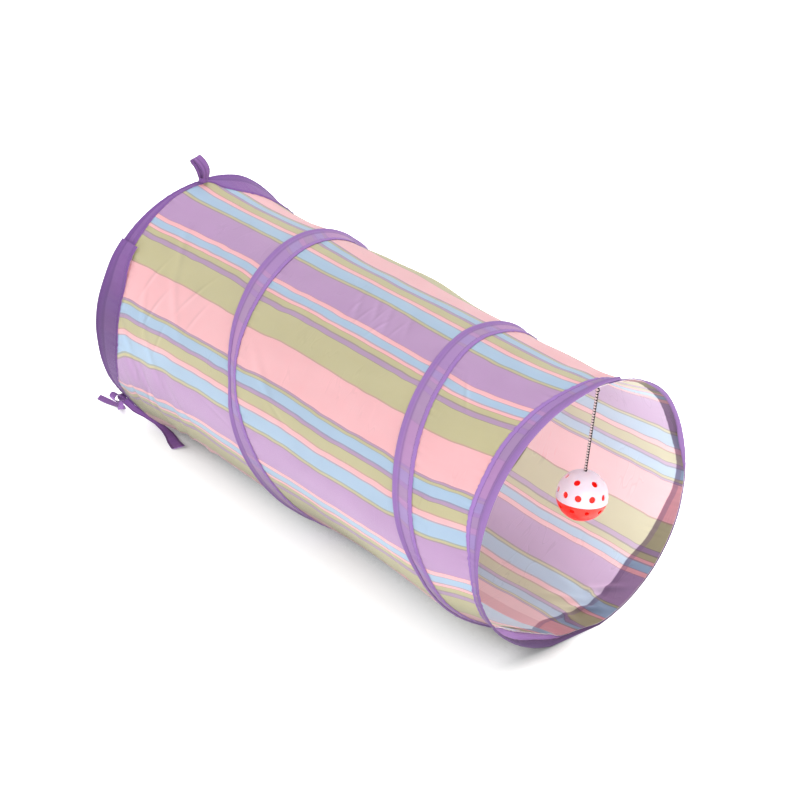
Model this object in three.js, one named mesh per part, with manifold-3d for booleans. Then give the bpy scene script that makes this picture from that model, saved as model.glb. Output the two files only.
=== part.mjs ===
// A pop-up cat tunnel: a striped cloth tube held open by a spiral spring wire under sewn-on strips,
// with a hanging loop, a tied ribbon and a toy ball on a cord in the mouth.
// Millimetres, +Z up, the mouth towards +X, the near side towards -Y, the part standing on Z = 0.
// A place on the tube is a setback from the mouth and an angle: -90 below, 0 near, 90 on top, 180 far.

import * as THREE from 'three';
import Module from 'manifold-3d';

const TUBE = {
  radius: 123, thickness: 1.0, axisHeight: 121.5, floorHeight: 1.7, around: 60, along: 28, hem: 0.6,
};
const STRIP = { thickness: 1.2, gap: 0.5, floorSnap: 0.12, buried: 0.1 };
const RIBBON = { thickness: 1.0, sections: 24 };
const BALL = {
  radius: 22.2, wall: 1.4, seamHeight: -3.3, seamGap: 0.3, lean: 8, leanHeading: 135, segments: 24, rings: 6,
  holeRadius: 2.9, holeSides: 8,
  centre: { setback: 6.4, far: 19, height: 140 },
};
const CORD = { diameter: 2.4, sides: 8, steps: 16, knotRadius: 2.0, gap: 0.3, setback: 7.2, far: 19 };

const COLOURS = {
  stripes: 0xd9bfd0, purple: 0x8f68ab, ribbon: 0x7d5694, cord: 0x4a4448, white: 0xe6dde3, red: 0xee4a35,
};

// How far the middle line of the tube lies to the far side.
const MIDDLE_LINE = [
  { setback: -16, far: 23.9 },
  { setback: 0, far: 18.7 },
  { setback: 30, far: 9.6 },
  { setback: 60, far: 4.0 },
  { setback: 130, far: 0 },
  { setback: 230, far: 1.6 },
  { setback: 330, far: 2.9 },
  { setback: 430, far: 1.4 },
  { setback: 515, far: 0 },
];

// The mouth's rim leans back a little at the top and on the near side, and reaches forward low on the far side.
const MOUTH_RIM = { top: 5.5, near: 3.0, reach: 5.5, reachAngle: 226, narrow: 4 };

// Setback of the rear rim, by angle.
const REAR_RIM = [
  { angle: -90, setback: 515 },
  { angle: -42, setback: 515 },
  { angle: -30, setback: 513.5 },
  { angle: -16, setback: 512 },
  { angle: 0, setback: 514 },
  { angle: 18, setback: 515.5 },
  { angle: 42, setback: 515 },
  { angle: 90, setback: 515 },
  { angle: 270, setback: 515 },
];

// Edges of the spiral strip, by the angle turned from the near side.
const SPIRAL = [
  { turn: -90, front: -14, rear: 8 },
  { turn: -75, front: 2, rear: 17 },
  { turn: -60, front: 18, rear: 31 },
  { turn: -40, front: 33, rear: 46 },
  { turn: -20, front: 47, rear: 62 },
  { turn: 0, front: 64, rear: 84 },
  { turn: 20, front: 78, rear: 100 },
  { turn: 40, front: 92, rear: 114 },
  { turn: 60, front: 104.5, rear: 126 },
  { turn: 90, front: 121, rear: 141 },
  { turn: 105, front: 124, rear: 144 },
  { turn: 150, front: 136, rear: 158 },
  { turn: 180, front: 147, rear: 169 },
  { turn: 225, front: 168, rear: 190 },
  { turn: 270, front: 200, rear: 223 },
  { turn: 310, front: 240, rear: 265 },
  { turn: 340, front: 268, rear: 293 },
  { turn: 360, front: 291, rear: 309 },
  { turn: 372, front: 305, rear: 316 },
  { turn: 384, front: 315, rear: 328 },
  { turn: 400, front: 323, rear: 342 },
  { turn: 420, front: 332, rear: 355 },
  { turn: 450, front: 344, rear: 368 },
  { turn: 475, front: 347, rear: 372 },
  { turn: 510, front: 356, rear: 380 },
  { turn: 540, front: 372, rear: 396 },
  { turn: 585, front: 408, rear: 432 },
  { turn: 612, front: 442, rear: 466 },
  { turn: 636, front: 480, rear: 504 },
  { turn: 660, front: 515, rear: 539 },
];
const SPIRAL_ENDS = { first: -60, last: 636, shortest: 4, clear: 0.6, wireInset: 4 };

// Rear edge of the mouth strip. Its upper end at 102 laps over its lower end at 96.
const MOUTH_STRIP = [
  { angle: -264, rear: 17 },
  { angle: -240, rear: 13 },
  { angle: -222, rear: 8 },
  { angle: -182, rear: 4 },
  { angle: -160, rear: 5 },
  { angle: -145, rear: 7 },
  { angle: -120, rear: 10.5 },
  { angle: -90, rear: 14 },
  { angle: -75, rear: 11 },
  { angle: -60, rear: 9 },
  { angle: -45, rear: 6.5 },
  { angle: -30, rear: 6.2 },
  { angle: -16, rear: 7.3 },
  { angle: -6, rear: 9.4 },
  { angle: 2, rear: 12.6 },
  { angle: 10, rear: 17 },
  { angle: 20, rear: 20.5 },
  { angle: 35, rear: 22 },
  { angle: 48, rear: 23.3 },
  { angle: 65, rear: 22.5 },
  { angle: 80, rear: 20 },
  { angle: 102, rear: 16 },
];
const MOUTH_LAP = { upper: 102, lower: -264, rise: [3.2, 2.4, 0.9] };

// Front edge of the rear strip. Its wide end at 42 laps over its narrow end at 36.
const REAR_STRIP = [
  { angle: -324, front: 497.5 },
  { angle: -312, front: 500 },
  { angle: -300, front: 504 },
  { angle: -282, front: 508.5 },
  { angle: -268, front: 509 },
  { angle: -252, front: 500 },
  { angle: -230, front: 492 },
  { angle: -180, front: 490 },
  { angle: -120, front: 492 },
  { angle: -90, front: 496 },
  { angle: -60, front: 503 },
  { angle: -44, front: 505 },
  { angle: -30, front: 499 },
  { angle: -20, front: 489 },
  { angle: 0, front: 481 },
  { angle: 20, front: 484 },
  { angle: 42, front: 492 },
];
const REAR_LAP = { upper: 42, lower: -324, rise: [2.4, 2.3, 0.7] };

// Raised outline across each strip, from its front edge to its rear edge. The wire lies under the ridge.
const RIDGE = {
  mouth: [
    { across: 0, rise: 0.5 },
    { across: 0.12, rise: 1.9 },
    { across: 0.28, rise: 1.6 },
    { across: 0.44, rise: 0.2 },
    { across: 0.8, rise: 0 },
    { across: 1, rise: 0.3 },
  ],
  spiral: [
    { across: 0, rise: 0.3 },
    { across: 0.2, rise: 0 },
    { across: 0.58, rise: 0.1 },
    { across: 0.74, rise: 1.7 },
    { across: 0.9, rise: 1.8 },
    { across: 1, rise: 0.4 },
  ],
  rear: [
    { across: 0, rise: 0.3 },
    { across: 0.35, rise: 0 },
    { across: 0.68, rise: 0.2 },
    { across: 0.83, rise: 1.3 },
    { across: 0.95, rise: 1.4 },
    { across: 1, rise: 0.4 },
  ],
};

// How far the cloth draws in halfway between two runs of wire, in the front, middle and rear of the tube.
const DRAW_IN = [
  { angle: -90, front: 0, middle: 0, rear: 0 },
  { angle: -70, front: 3, middle: 6, rear: 0 },
  { angle: -46, front: 4, middle: 10, rear: -1.5 },
  { angle: -20, front: 3, middle: 6, rear: 2 },
  { angle: 0, front: 2, middle: 3, rear: 3 },
  { angle: 45, front: 2, middle: 2, rear: 2.5 },
  { angle: 90, front: 2.5, middle: 2, rear: 5 },
  { angle: 123, front: 3.5, middle: 2, rear: 8 },
  { angle: 150, front: 3.5, middle: 3, rear: 7 },
  { angle: 180, front: 3, middle: 3, rear: 4 },
  { angle: 230, front: 2, middle: 3, rear: 3 },
  { angle: 270, front: 0, middle: 0, rear: 0 },
];
const DRAW_IN_PLACES = { front: 60, middle: 210, rear: 430, fullSpan: 150 };

// Broad hollows in the cloth: the loose folds of the near rear and the dips on top.
const HOLLOWS = [
  { setback: 452, angle: -10, along: 16, around: 13, depth: 3 },
  { setback: 414, angle: -8, along: 13, around: 14, depth: 2.2 },
  { setback: 290, angle: 104, along: 30, around: 12, depth: 3 },
  { setback: 60, angle: 104, along: 26, around: 12, depth: 2 },
];

// Ribbon paths: setback from the mouth, distance to the far side and height, with the direction of the width.
const HANG_LOOP = {
  width: 9,
  path: [
    { setback: 507.5, far: -3.5, height: 247.05, alongWidth: 0.1, farWidth: 1, upWidth: 0, wide: 0.72 },
    { setback: 505, far: -3.5, height: 254, alongWidth: 0.1, farWidth: 1, upWidth: 0.1, wide: 0.8 },
    { setback: 503.8, far: -5, height: 261, alongWidth: 0.1, farWidth: 1, upWidth: 0.2, wide: 0.95 },
    { setback: 506, far: -8, height: 268, alongWidth: 0.1, farWidth: 1, upWidth: 0.3, wide: 1 },
    { setback: 511.5, far: -11, height: 272.6, alongWidth: 0.1, farWidth: 1, upWidth: 0.35, wide: 1 },
    { setback: 517.5, far: -12, height: 269, alongWidth: 0.1, farWidth: 1, upWidth: 0.3, wide: 1 },
    { setback: 518.5, far: -9, height: 262, alongWidth: 0.1, farWidth: 1, upWidth: 0.2, wide: 0.95 },
    { setback: 516, far: -6, height: 254.5, alongWidth: 0.1, farWidth: 1, upWidth: 0.1, wide: 0.8 },
    { setback: 512.5, far: -4, height: 247.2, alongWidth: 0.1, farWidth: 1, upWidth: 0, wide: 0.72 },
  ],
};
const TIE_KNOT = { setback: 515.1, far: -91.3, height: 28.5, along: 5, across: 4.1, up: 5 };
const TIE_BOW = {
  width: 8,
  path: [
    { setback: 513.6, far: -94.8, height: 33.7, alongWidth: 1, farWidth: 0.1, upWidth: 0, wide: 0.6 },
    { setback: 513.6, far: -97.8, height: 37.3, alongWidth: 1, farWidth: 0.1, upWidth: 0, wide: 0.9 },
    { setback: 513.6, far: -101.4, height: 38.5, alongWidth: 1, farWidth: 0.1, upWidth: 0, wide: 1 },
    { setback: 513.6, far: -104, height: 35.5, alongWidth: 1, farWidth: 0.1, upWidth: 0, wide: 1 },
    { setback: 513.6, far: -102.4, height: 32.1, alongWidth: 1, farWidth: 0.1, upWidth: 0, wide: 1 },
    { setback: 513.6, far: -99.2, height: 29.3, alongWidth: 1, farWidth: 0.1, upWidth: 0, wide: 0.9 },
    { setback: 514.1, far: -96.2, height: 27.9, alongWidth: 1, farWidth: 0.1, upWidth: 0, wide: 0.6 },
  ],
};
const TIE_END = {
  width: 8,
  path: [
    { setback: 516.7, far: -91, height: 22.95, alongWidth: 0.6, farWidth: 0.8, upWidth: 0, wide: 0.6 },
    { setback: 521, far: -88, height: 13.5, alongWidth: 0.55, farWidth: 0.83, upWidth: 0, wide: 0.75 },
    { setback: 531, far: -79, height: 6, alongWidth: 0.45, farWidth: 0.9, upWidth: 0, wide: 0.9 },
    { setback: 543, far: -73, height: 1.8, alongWidth: 0.3, farWidth: 0.95, upWidth: 0, wide: 1 },
    { setback: 555, far: -75.5, height: 0.6, alongWidth: 0.27, farWidth: 0.96, upWidth: 0, wide: 1 },
    { setback: 568, far: -82, height: 3.2, alongWidth: 0.27, farWidth: 0.96, upWidth: 0.1, wide: 0.85 },
  ],
};
const TIE_TAIL = {
  width: 11.5,
  path: [
    { setback: 510.2, far: -88.4, height: 26.6, alongWidth: -0.55, farWidth: 0.4, upWidth: 0.72, wide: 0.62 },
    { setback: 505.5, far: -82.6, height: 17.8, alongWidth: -0.5, farWidth: 0.5, upWidth: 0.7, wide: 0.6 },
    { setback: 499, far: -74, height: 10.6, alongWidth: -0.4, farWidth: 0.65, upWidth: 0.62, wide: 0.55 },
    { setback: 490, far: -66.5, height: 5, alongWidth: -0.35, farWidth: 0.8, upWidth: 0.4, wide: 0.62 },
    { setback: 478, far: -64, height: 1.7, alongWidth: -0.3, farWidth: 0.95, upWidth: 0.1, wide: 0.85 },
    { setback: 466, far: -66, height: 0.5, alongWidth: -0.4, farWidth: 0.9, upWidth: 0, wide: 1 },
    { setback: 455, far: -70, height: 0.5, alongWidth: -0.5, farWidth: 0.86, upWidth: 0, wide: 1 },
    { setback: 446, far: -73, height: 1.4, alongWidth: -0.56, farWidth: 0.83, upWidth: 0, wide: 1.05 },
  ],
};

// Rows of holes in the ball, by the angle above its equator, with the angle of the first hole.
const BALL_HOLES = {
  upper: [
    { above: 12.5, count: 11, first: 6.4 },
    { above: 47, count: 6, first: 47 },
  ],
  lower: [
    { above: -21.5, count: 10, first: 2 },
    { above: -56, count: 5, first: 6 },
  ],
};

const radians = THREE.MathUtils.degToRad;

// Smooth value from a table, with the slope limited so that it never overshoots its rows.
function tableValue(rows, key, column, at) {
  const last = rows.length - 1;
  if (at <= rows[0][key]) return rows[0][column];
  if (at >= rows[last][key]) return rows[last][column];
  let i = 0;
  while (at > rows[i + 1][key]) i += 1;
  const secant = (k) => (rows[k + 1][column] - rows[k][column]) / (rows[k + 1][key] - rows[k][key]);
  const slope = (k) => {
    if (k === 0 || k === last) return 0;
    const before = secant(k - 1);
    const after = secant(k);
    return before * after <= 0 ? 0 : (2 * before * after) / (before + after);
  };
  const span = rows[i + 1][key] - rows[i][key];
  const u = (at - rows[i][key]) / span;
  const a = (1 + 2 * u) * (1 - u) * (1 - u) * rows[i][column];
  const b = u * (1 - u) * (1 - u) * span * slope(i);
  const c = u * u * (3 - 2 * u) * rows[i + 1][column];
  const d = u * u * (u - 1) * span * slope(i + 1);
  return a + b + c + d;
}

// The same angle between -90 and 270.
function wrapAngle(angle) {
  return angle - 360 * Math.floor((angle + 90) / 360);
}

function mouthRim(angle) {
  const lean = MOUTH_RIM.top * Math.sin(radians(angle)) + MOUTH_RIM.near * Math.cos(radians(angle));
  const towards = (1 + Math.cos(radians(angle - MOUTH_RIM.reachAngle))) / 2;
  return lean - MOUTH_RIM.reach * towards ** MOUTH_RIM.narrow;
}

function rearRim(angle) {
  return tableValue(REAR_RIM, 'angle', 'setback', wrapAngle(angle));
}

// Setbacks where the wire crosses a line along the tube, from the mouth to the rear.
function wireCrossings(angle) {
  const start = wrapAngle(angle);
  const crossings = [mouthRim(angle) + 2];
  for (let turn = start; turn <= SPIRAL[SPIRAL.length - 1].turn; turn += 360) {
    crossings.push(tableValue(SPIRAL, 'turn', 'rear', turn) - SPIRAL_ENDS.wireInset);
  }
  crossings.push(rearRim(angle) - 3);
  return crossings.sort((a, b) => a - b);
}

function drawInDepth(angle, middle) {
  const value = (column) => tableValue(DRAW_IN, 'angle', column, wrapAngle(angle));
  const { front, middle: centre, rear } = DRAW_IN_PLACES;
  if (middle < centre) {
    const u = THREE.MathUtils.smoothstep(middle, front, centre);
    return THREE.MathUtils.lerp(value('front'), value('middle'), u);
  }
  const u = THREE.MathUtils.smoothstep(middle, centre, rear);
  return THREE.MathUtils.lerp(value('middle'), value('rear'), u);
}

// Distance of the tube's outer skin from its middle line.
function skinRadius(setback, angle) {
  const crossings = wireCrossings(angle);
  let radius = TUBE.radius;
  for (let i = 0; i + 1 < crossings.length; i += 1) {
    const from = crossings[i];
    const to = crossings[i + 1];
    if (setback <= from || setback >= to) continue;
    const reach = Math.min(1, (to - from) / DRAW_IN_PLACES.fullSpan);
    const depth = drawInDepth(angle, (from + to) / 2) * reach * reach;
    radius -= depth * Math.sin((Math.PI * (setback - from)) / (to - from));
  }
  for (const hollow of HOLLOWS) {
    const along = (setback - hollow.setback) / hollow.along;
    const turned = ((wrapAngle(angle) - hollow.angle + 540) % 360) - 180;
    const around = turned / hollow.around;
    radius -= hollow.depth * Math.exp(-along * along - around * around);
  }
  return radius;
}

function outward(angle) {
  return new THREE.Vector3(0, -Math.cos(radians(angle)), Math.sin(radians(angle)));
}

// A point at a distance inside (negative) or outside the tube's skin, no lower than floorHeight.
function tubePoint(setback, angle, offset, floorHeight) {
  const point = outward(angle).multiplyScalar(skinRadius(setback, angle) + offset);
  point.x = -setback;
  point.y += tableValue(MIDDLE_LINE, 'setback', 'far', setback);
  point.z = Math.max(point.z + TUBE.axisHeight, floorHeight);
  return point;
}

function tubeSetback(index, angle) {
  const u = index / TUBE.along;
  return THREE.MathUtils.lerp(mouthRim(angle) + TUBE.hem, rearRim(angle) - TUBE.hem, u);
}

// A point of the faceted outer skin, on the line along the tube at one of its angles.
function skinPoint(setback, angle) {
  let i = 0;
  while (i < TUBE.along - 1 && tubeSetback(i + 1, angle) < setback) i += 1;
  const from = tubeSetback(i, angle);
  const to = tubeSetback(i + 1, angle);
  const a = tubePoint(from, angle, 0, TUBE.floorHeight);
  const b = tubePoint(to, angle, 0, TUBE.floorHeight);
  return a.lerp(b, (setback - from) / (to - from));
}

// A closed solid between two grids of points. Rows run along, closed joins the last row to the first.
function slab(outer, inner, closed) {
  const rows = outer.length;
  const columns = outer[0].length;
  const positions = [];
  for (const grid of [outer, inner]) {
    for (const row of grid) {
      for (const point of row) positions.push(point.x, point.y, point.z);
    }
  }
  const index = [];
  const top = (r, c) => (r % rows) * columns + c;
  const under = (r, c) => rows * columns + (r % rows) * columns + c;
  const quad = (a, b, c, d) => index.push(a, b, c, a, c, d);
  const lastRow = closed ? rows : rows - 1;
  for (let r = 0; r < lastRow; r += 1) {
    for (let c = 0; c + 1 < columns; c += 1) {
      quad(top(r, c), top(r + 1, c), top(r + 1, c + 1), top(r, c + 1));
      quad(under(r, c), under(r, c + 1), under(r + 1, c + 1), under(r + 1, c));
    }
    quad(top(r, 0), under(r, 0), under(r + 1, 0), top(r + 1, 0));
    const e = columns - 1;
    quad(top(r, e), top(r + 1, e), under(r + 1, e), under(r, e));
  }
  if (!closed) {
    for (let c = 0; c + 1 < columns; c += 1) {
      quad(top(0, c), top(0, c + 1), under(0, c + 1), under(0, c));
      const e = rows - 1;
      quad(top(e, c), under(e, c), under(e, c + 1), top(e, c + 1));
    }
  }
  const geometry = new THREE.BufferGeometry();
  geometry.setAttribute('position', new THREE.Float32BufferAttribute(positions, 3));
  geometry.setIndex(index);
  return facingOut(geometry);
}

// Turns the triangles round if the solid would face inwards.
function facingOut(geometry) {
  const p = geometry.getAttribute('position');
  const index = geometry.getIndex();
  const corners = [new THREE.Vector3(), new THREE.Vector3(), new THREE.Vector3()];
  let volume = 0;
  for (let i = 0; i < index.count; i += 3) {
    corners.forEach((corner, k) => corner.fromBufferAttribute(p, index.getX(i + k)));
    volume += corners[0].dot(corners[1].clone().cross(corners[2]));
  }
  if (volume < 0) {
    for (let i = 0; i < index.count; i += 3) {
      const second = index.getX(i + 1);
      index.setX(i + 1, index.getX(i + 2));
      index.setX(i + 2, second);
    }
  }
  geometry.computeVertexNormals();
  return geometry;
}

function tubeAngles() {
  const step = 360 / TUBE.around;
  return Array.from({ length: TUBE.around }, (_, k) => -90 + k * step);
}

function stripedTube() {
  const stations = Array.from({ length: TUBE.along + 1 }, (_, i) => i);
  const grid = (offset, floorHeight) => tubeAngles().map((angle) => stations.map(
    (i) => tubePoint(tubeSetback(i, angle), angle, offset, floorHeight),
  ));
  return slab(grid(0, TUBE.floorHeight), grid(-TUBE.thickness, TUBE.floorHeight + TUBE.thickness), true);
}

// One cross-section of a strip lying on the skin between two setbacks.
function stripSection(angle, front, rear, ridge, lift) {
  const outer = [];
  const inner = [];
  for (const { across, rise } of ridge) {
    const setback = THREE.MathUtils.lerp(front, rear, across);
    const base = skinPoint(setback, angle);
    const direction = outward(angle);
    inner.push(base.clone().addScaledVector(direction, STRIP.gap + lift));
    const point = base.clone().addScaledVector(direction, STRIP.gap + lift + STRIP.thickness + rise);
    if (point.z < STRIP.floorSnap) point.z = 0;
    outer.push(point);
  }
  return { outer, inner };
}

// A strip round one end, from its upper lap down and round to its lower lap, which lies underneath.
function endStrip(lap, ridge, edges) {
  const step = 360 / TUBE.around;
  const outer = [];
  const inner = [];
  for (let angle = lap.upper, k = 0; angle >= lap.lower; angle -= step, k += 1) {
    const { front, rear } = edges(angle);
    const buried = angle < lap.lower + 2 * step;
    const profile = buried ? ridge.map(({ across, rise }) => ({ across, rise: rise * STRIP.buried })) : ridge;
    const section = stripSection(angle, front, rear, profile, lap.rise[k] ?? 0);
    outer.push(section.outer);
    inner.push(section.inner);
  }
  return slab(outer, inner, false);
}

function mouthStripRear(angle) {
  const from = angle > MOUTH_LAP.upper ? angle - 360 : angle;
  return tableValue(MOUTH_STRIP, 'angle', 'rear', from);
}

function rearStripFront(angle) {
  const from = angle > REAR_LAP.upper ? angle - 360 : angle;
  return tableValue(REAR_STRIP, 'angle', 'front', from);
}

function spiralStrip() {
  const step = 360 / TUBE.around;
  const outer = [];
  const inner = [];
  for (let turn = SPIRAL_ENDS.first; turn <= SPIRAL_ENDS.last; turn += step) {
    const angle = wrapAngle(turn);
    const mouthLimit = mouthStripRear(angle) + SPIRAL_ENDS.clear;
    const rearLimit = rearStripFront(angle) - SPIRAL_ENDS.clear;
    const front = Math.max(tableValue(SPIRAL, 'turn', 'front', turn), mouthLimit);
    const rear = Math.min(tableValue(SPIRAL, 'turn', 'rear', turn), rearLimit);
    if (rear - front < SPIRAL_ENDS.shortest) continue;
    const section = stripSection(angle, front, rear, RIDGE.spiral, 0);
    outer.push(section.outer);
    inner.push(section.inner);
  }
  return slab(outer, inner, false);
}

// A flat ribbon along a smooth path.
function ribbon({ width, path }) {
  const points = path.map((row) => new THREE.Vector3(-row.setback, row.far, row.height));
  const curve = new THREE.CatmullRomCurve3(points, false, 'centripetal');
  const top = [];
  const under = [];
  for (let k = 0; k < RIBBON.sections; k += 1) {
    const u = k / (RIBBON.sections - 1);
    const place = u * (path.length - 1);
    const i = Math.min(Math.floor(place), path.length - 2);
    const blend = (column) => THREE.MathUtils.lerp(path[i][column], path[i + 1][column], place - i);
    const centre = curve.getPoint(u);
    const tangent = curve.getTangent(u);
    const side = new THREE.Vector3(-blend('alongWidth'), blend('farWidth'), blend('upWidth'));
    side.addScaledVector(tangent, -side.dot(tangent)).normalize();
    const normal = new THREE.Vector3().crossVectors(tangent, side).multiplyScalar(RIBBON.thickness / 2);
    const half = (width * blend('wide')) / 2;
    const edges = [-half, 0, half].map((w) => centre.clone().addScaledVector(side, w));
    top.push(edges.map((edge) => edge.clone().add(normal)));
    under.push(edges.map((edge) => edge.clone().sub(normal)));
  }
  for (const row of [...top, ...under]) {
    for (const point of row) point.z = Math.max(point.z, 0);
  }
  return slab(top, under, false);
}

function tieKnot() {
  const geometry = new THREE.SphereGeometry(1, 14, 9);
  geometry.scale(TIE_KNOT.along, TIE_KNOT.across, TIE_KNOT.up);
  geometry.rotateX(radians(45));
  geometry.translate(-TIE_KNOT.setback, TIE_KNOT.far, TIE_KNOT.height);
  return geometry;
}

// Places a ball piece made round the origin: leaned, then moved to where the ball hangs.
function hangBall(geometry) {
  const heading = radians(BALL.leanHeading);
  const axis = new THREE.Vector3(-Math.sin(heading), Math.cos(heading), 0);
  const { setback, far, height } = BALL.centre;
  geometry.applyMatrix4(new THREE.Matrix4().makeRotationAxis(axis, radians(BALL.lean)));
  geometry.translate(-setback, far, height);
  return geometry;
}

const kernel = await Module();
kernel.setup();

function toSolid(geometry) {
  const p = geometry.getAttribute('position');
  const mesh = new kernel.Mesh({
    numProp: 3,
    vertProperties: new Float32Array(p.array),
    triVerts: new Uint32Array(geometry.getIndex().array),
  });
  mesh.merge();
  return new kernel.Manifold(mesh);
}

function toGeometry(solid) {
  const mesh = solid.getMesh();
  const geometry = new THREE.BufferGeometry();
  geometry.setAttribute('position', new THREE.Float32BufferAttribute(mesh.vertProperties, 3));
  geometry.setIndex(Array.from(mesh.triVerts));
  return facingOut(geometry);
}

// Half of the ball's shell, between two angles above its equator, with its rows of holes cut through.
function ballHalf(fromAngle, toAngle, rows, poleHole) {
  const profile = [];
  const along = (k) => radians(THREE.MathUtils.lerp(fromAngle, toAngle, k / BALL.rings));
  for (let k = 0; k <= BALL.rings; k += 1) {
    profile.push(new THREE.Vector2(BALL.radius * Math.cos(along(k)), BALL.radius * Math.sin(along(k))));
  }
  const bore = BALL.radius - BALL.wall;
  for (let k = BALL.rings; k >= 0; k -= 1) {
    const level = k === 0 ? profile[0].y : bore * Math.sin(along(k));
    const reach = Math.sqrt(Math.max(bore * bore - level * level, 0));
    profile.push(new THREE.Vector2(reach, level));
  }
  profile.push(profile[0].clone());
  for (const point of profile) point.x = Math.abs(point.x) < 1e-6 ? 0 : point.x;
  const lathe = facingOut(new THREE.LatheGeometry(profile, BALL.segments).rotateX(Math.PI / 2));
  let shell = toSolid(lathe);
  const drill = kernel.Manifold.cylinder(
    BALL.radius * 1.2, BALL.holeRadius, BALL.holeRadius, BALL.holeSides,
  ).translate([0, 0, BALL.radius * 0.5]);
  for (const { above, count, first } of rows) {
    for (let k = 0; k < count; k += 1) {
      const turn = first + (360 / count) * k;
      shell = shell.subtract(drill.rotate([0, 90 - above, turn]));
    }
  }
  if (poleHole) {
    const small = kernel.Manifold.cylinder(BALL.radius * 1.2, poleHole, poleHole, CORD.sides);
    shell = shell.subtract(small.translate([0, 0, BALL.radius * 0.5]));
  }
  return hangBall(toGeometry(shell));
}

function ballUpper() {
  const seam = THREE.MathUtils.radToDeg(Math.asin((BALL.seamHeight + BALL.seamGap / 2) / BALL.radius));
  return ballHalf(seam, 90, BALL_HOLES.upper, CORD.diameter / 2 + CORD.gap);
}

function ballLower() {
  const seam = THREE.MathUtils.radToDeg(Math.asin((BALL.seamHeight - BALL.seamGap / 2) / BALL.radius));
  return ballHalf(seam, -90, BALL_HOLES.lower, 0);
}

// The knot under the ceiling of the mouth, where the cord swings.
function knotCentre() {
  const ceiling = tubePoint(CORD.setback, 90, -TUBE.thickness, 0).z;
  return new THREE.Vector3(-CORD.setback, CORD.far, ceiling - CORD.gap - CORD.knotRadius);
}

function cordKnot() {
  const centre = knotCentre();
  return new THREE.SphereGeometry(CORD.knotRadius, 12, 8).translate(centre.x, centre.y, centre.z);
}

// The cord runs from just under its knot into the hole at the ball's pole.
function ballCord() {
  const pole = hangBall(new THREE.BufferGeometry().setFromPoints([
    new THREE.Vector3(0, 0, BALL.radius - BALL.wall - 0.6),
    new THREE.Vector3(0, 0, BALL.radius + 6),
  ])).getAttribute('position');
  const inside = new THREE.Vector3().fromBufferAttribute(pole, 0);
  const above = new THREE.Vector3().fromBufferAttribute(pole, 1);
  const start = knotCentre();
  start.z -= CORD.knotRadius + CORD.gap;
  const under = start.clone();
  under.z -= 12;
  const curve = new THREE.CatmullRomCurve3([start, under, above, inside], false, 'centripetal');
  const section = new THREE.Shape();
  for (let k = 0; k < CORD.sides; k += 1) {
    const a = (2 * Math.PI * k) / CORD.sides;
    const x = (CORD.diameter / 2) * Math.cos(a);
    const y = (CORD.diameter / 2) * Math.sin(a);
    if (k === 0) section.moveTo(x, y);
    else section.lineTo(x, y);
  }
  section.closePath();
  return new THREE.ExtrudeGeometry(section, { steps: CORD.steps, extrudePath: curve, curveSegments: 1 });
}

const mouthEdges = (angle) => ({ front: mouthRim(angle), rear: mouthStripRear(angle) });
const rearEdges = (angle) => ({ front: rearStripFront(angle), rear: rearRim(angle) });

const PIECES = [
  { name: 'striped_tube', colour: COLOURS.stripes, roughness: 0.7, build: stripedTube },
  { name: 'mouth_strip', colour: COLOURS.purple, roughness: 0.6, build: () => endStrip(MOUTH_LAP, RIDGE.mouth, mouthEdges) },
  { name: 'spiral_strip', colour: COLOURS.purple, roughness: 0.6, build: spiralStrip },
  { name: 'rear_strip', colour: COLOURS.purple, roughness: 0.6, build: () => endStrip(REAR_LAP, RIDGE.rear, rearEdges) },
  { name: 'hang_loop', colour: COLOURS.ribbon, roughness: 0.6, build: () => ribbon(HANG_LOOP) },
  { name: 'tie_knot', colour: COLOURS.ribbon, roughness: 0.6, build: tieKnot },
  { name: 'tie_bow', colour: COLOURS.ribbon, roughness: 0.6, build: () => ribbon(TIE_BOW) },
  { name: 'tie_end', colour: COLOURS.ribbon, roughness: 0.6, build: () => ribbon(TIE_END) },
  { name: 'tie_tail', colour: COLOURS.ribbon, roughness: 0.6, build: () => ribbon(TIE_TAIL) },
  { name: 'cord_knot', colour: COLOURS.cord, roughness: 0.8, build: cordKnot },
  { name: 'ball_cord', colour: COLOURS.cord, roughness: 0.8, build: ballCord },
  { name: 'ball_upper', colour: COLOURS.white, roughness: 0.35, build: ballUpper },
  { name: 'ball_lower', colour: COLOURS.red, roughness: 0.35, build: ballLower },
];
const ON_THE_CORD = ['ball_cord'];

const tunnel = new THREE.Group();
tunnel.name = 'cat_tunnel';
for (const { name, colour, roughness, build } of PIECES) {
  const material = new THREE.MeshStandardMaterial({ color: colour, roughness });
  const mesh = new THREE.Mesh(build(), material);
  mesh.name = name;
  tunnel.add(mesh);
}

// The origin lies under the middle of the part.
const box = new THREE.Box3();
for (const mesh of tunnel.children) {
  if (!ON_THE_CORD.includes(mesh.name)) box.expandByObject(mesh);
}
const middle = box.getCenter(new THREE.Vector3());
for (const mesh of tunnel.children) mesh.geometry.translate(-middle.x, -middle.y, -box.min.z);

export default tunnel;
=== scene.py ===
"""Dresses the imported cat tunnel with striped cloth, purple strips over its wire, ribbons and a toy ball."""

from __future__ import annotations

import logging
import math
from dataclasses import dataclass
from enum import Enum
from typing import Any, NamedTuple, Sequence

import bmesh
import bpy
import numpy as np
from mathutils import Matrix, Vector

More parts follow.
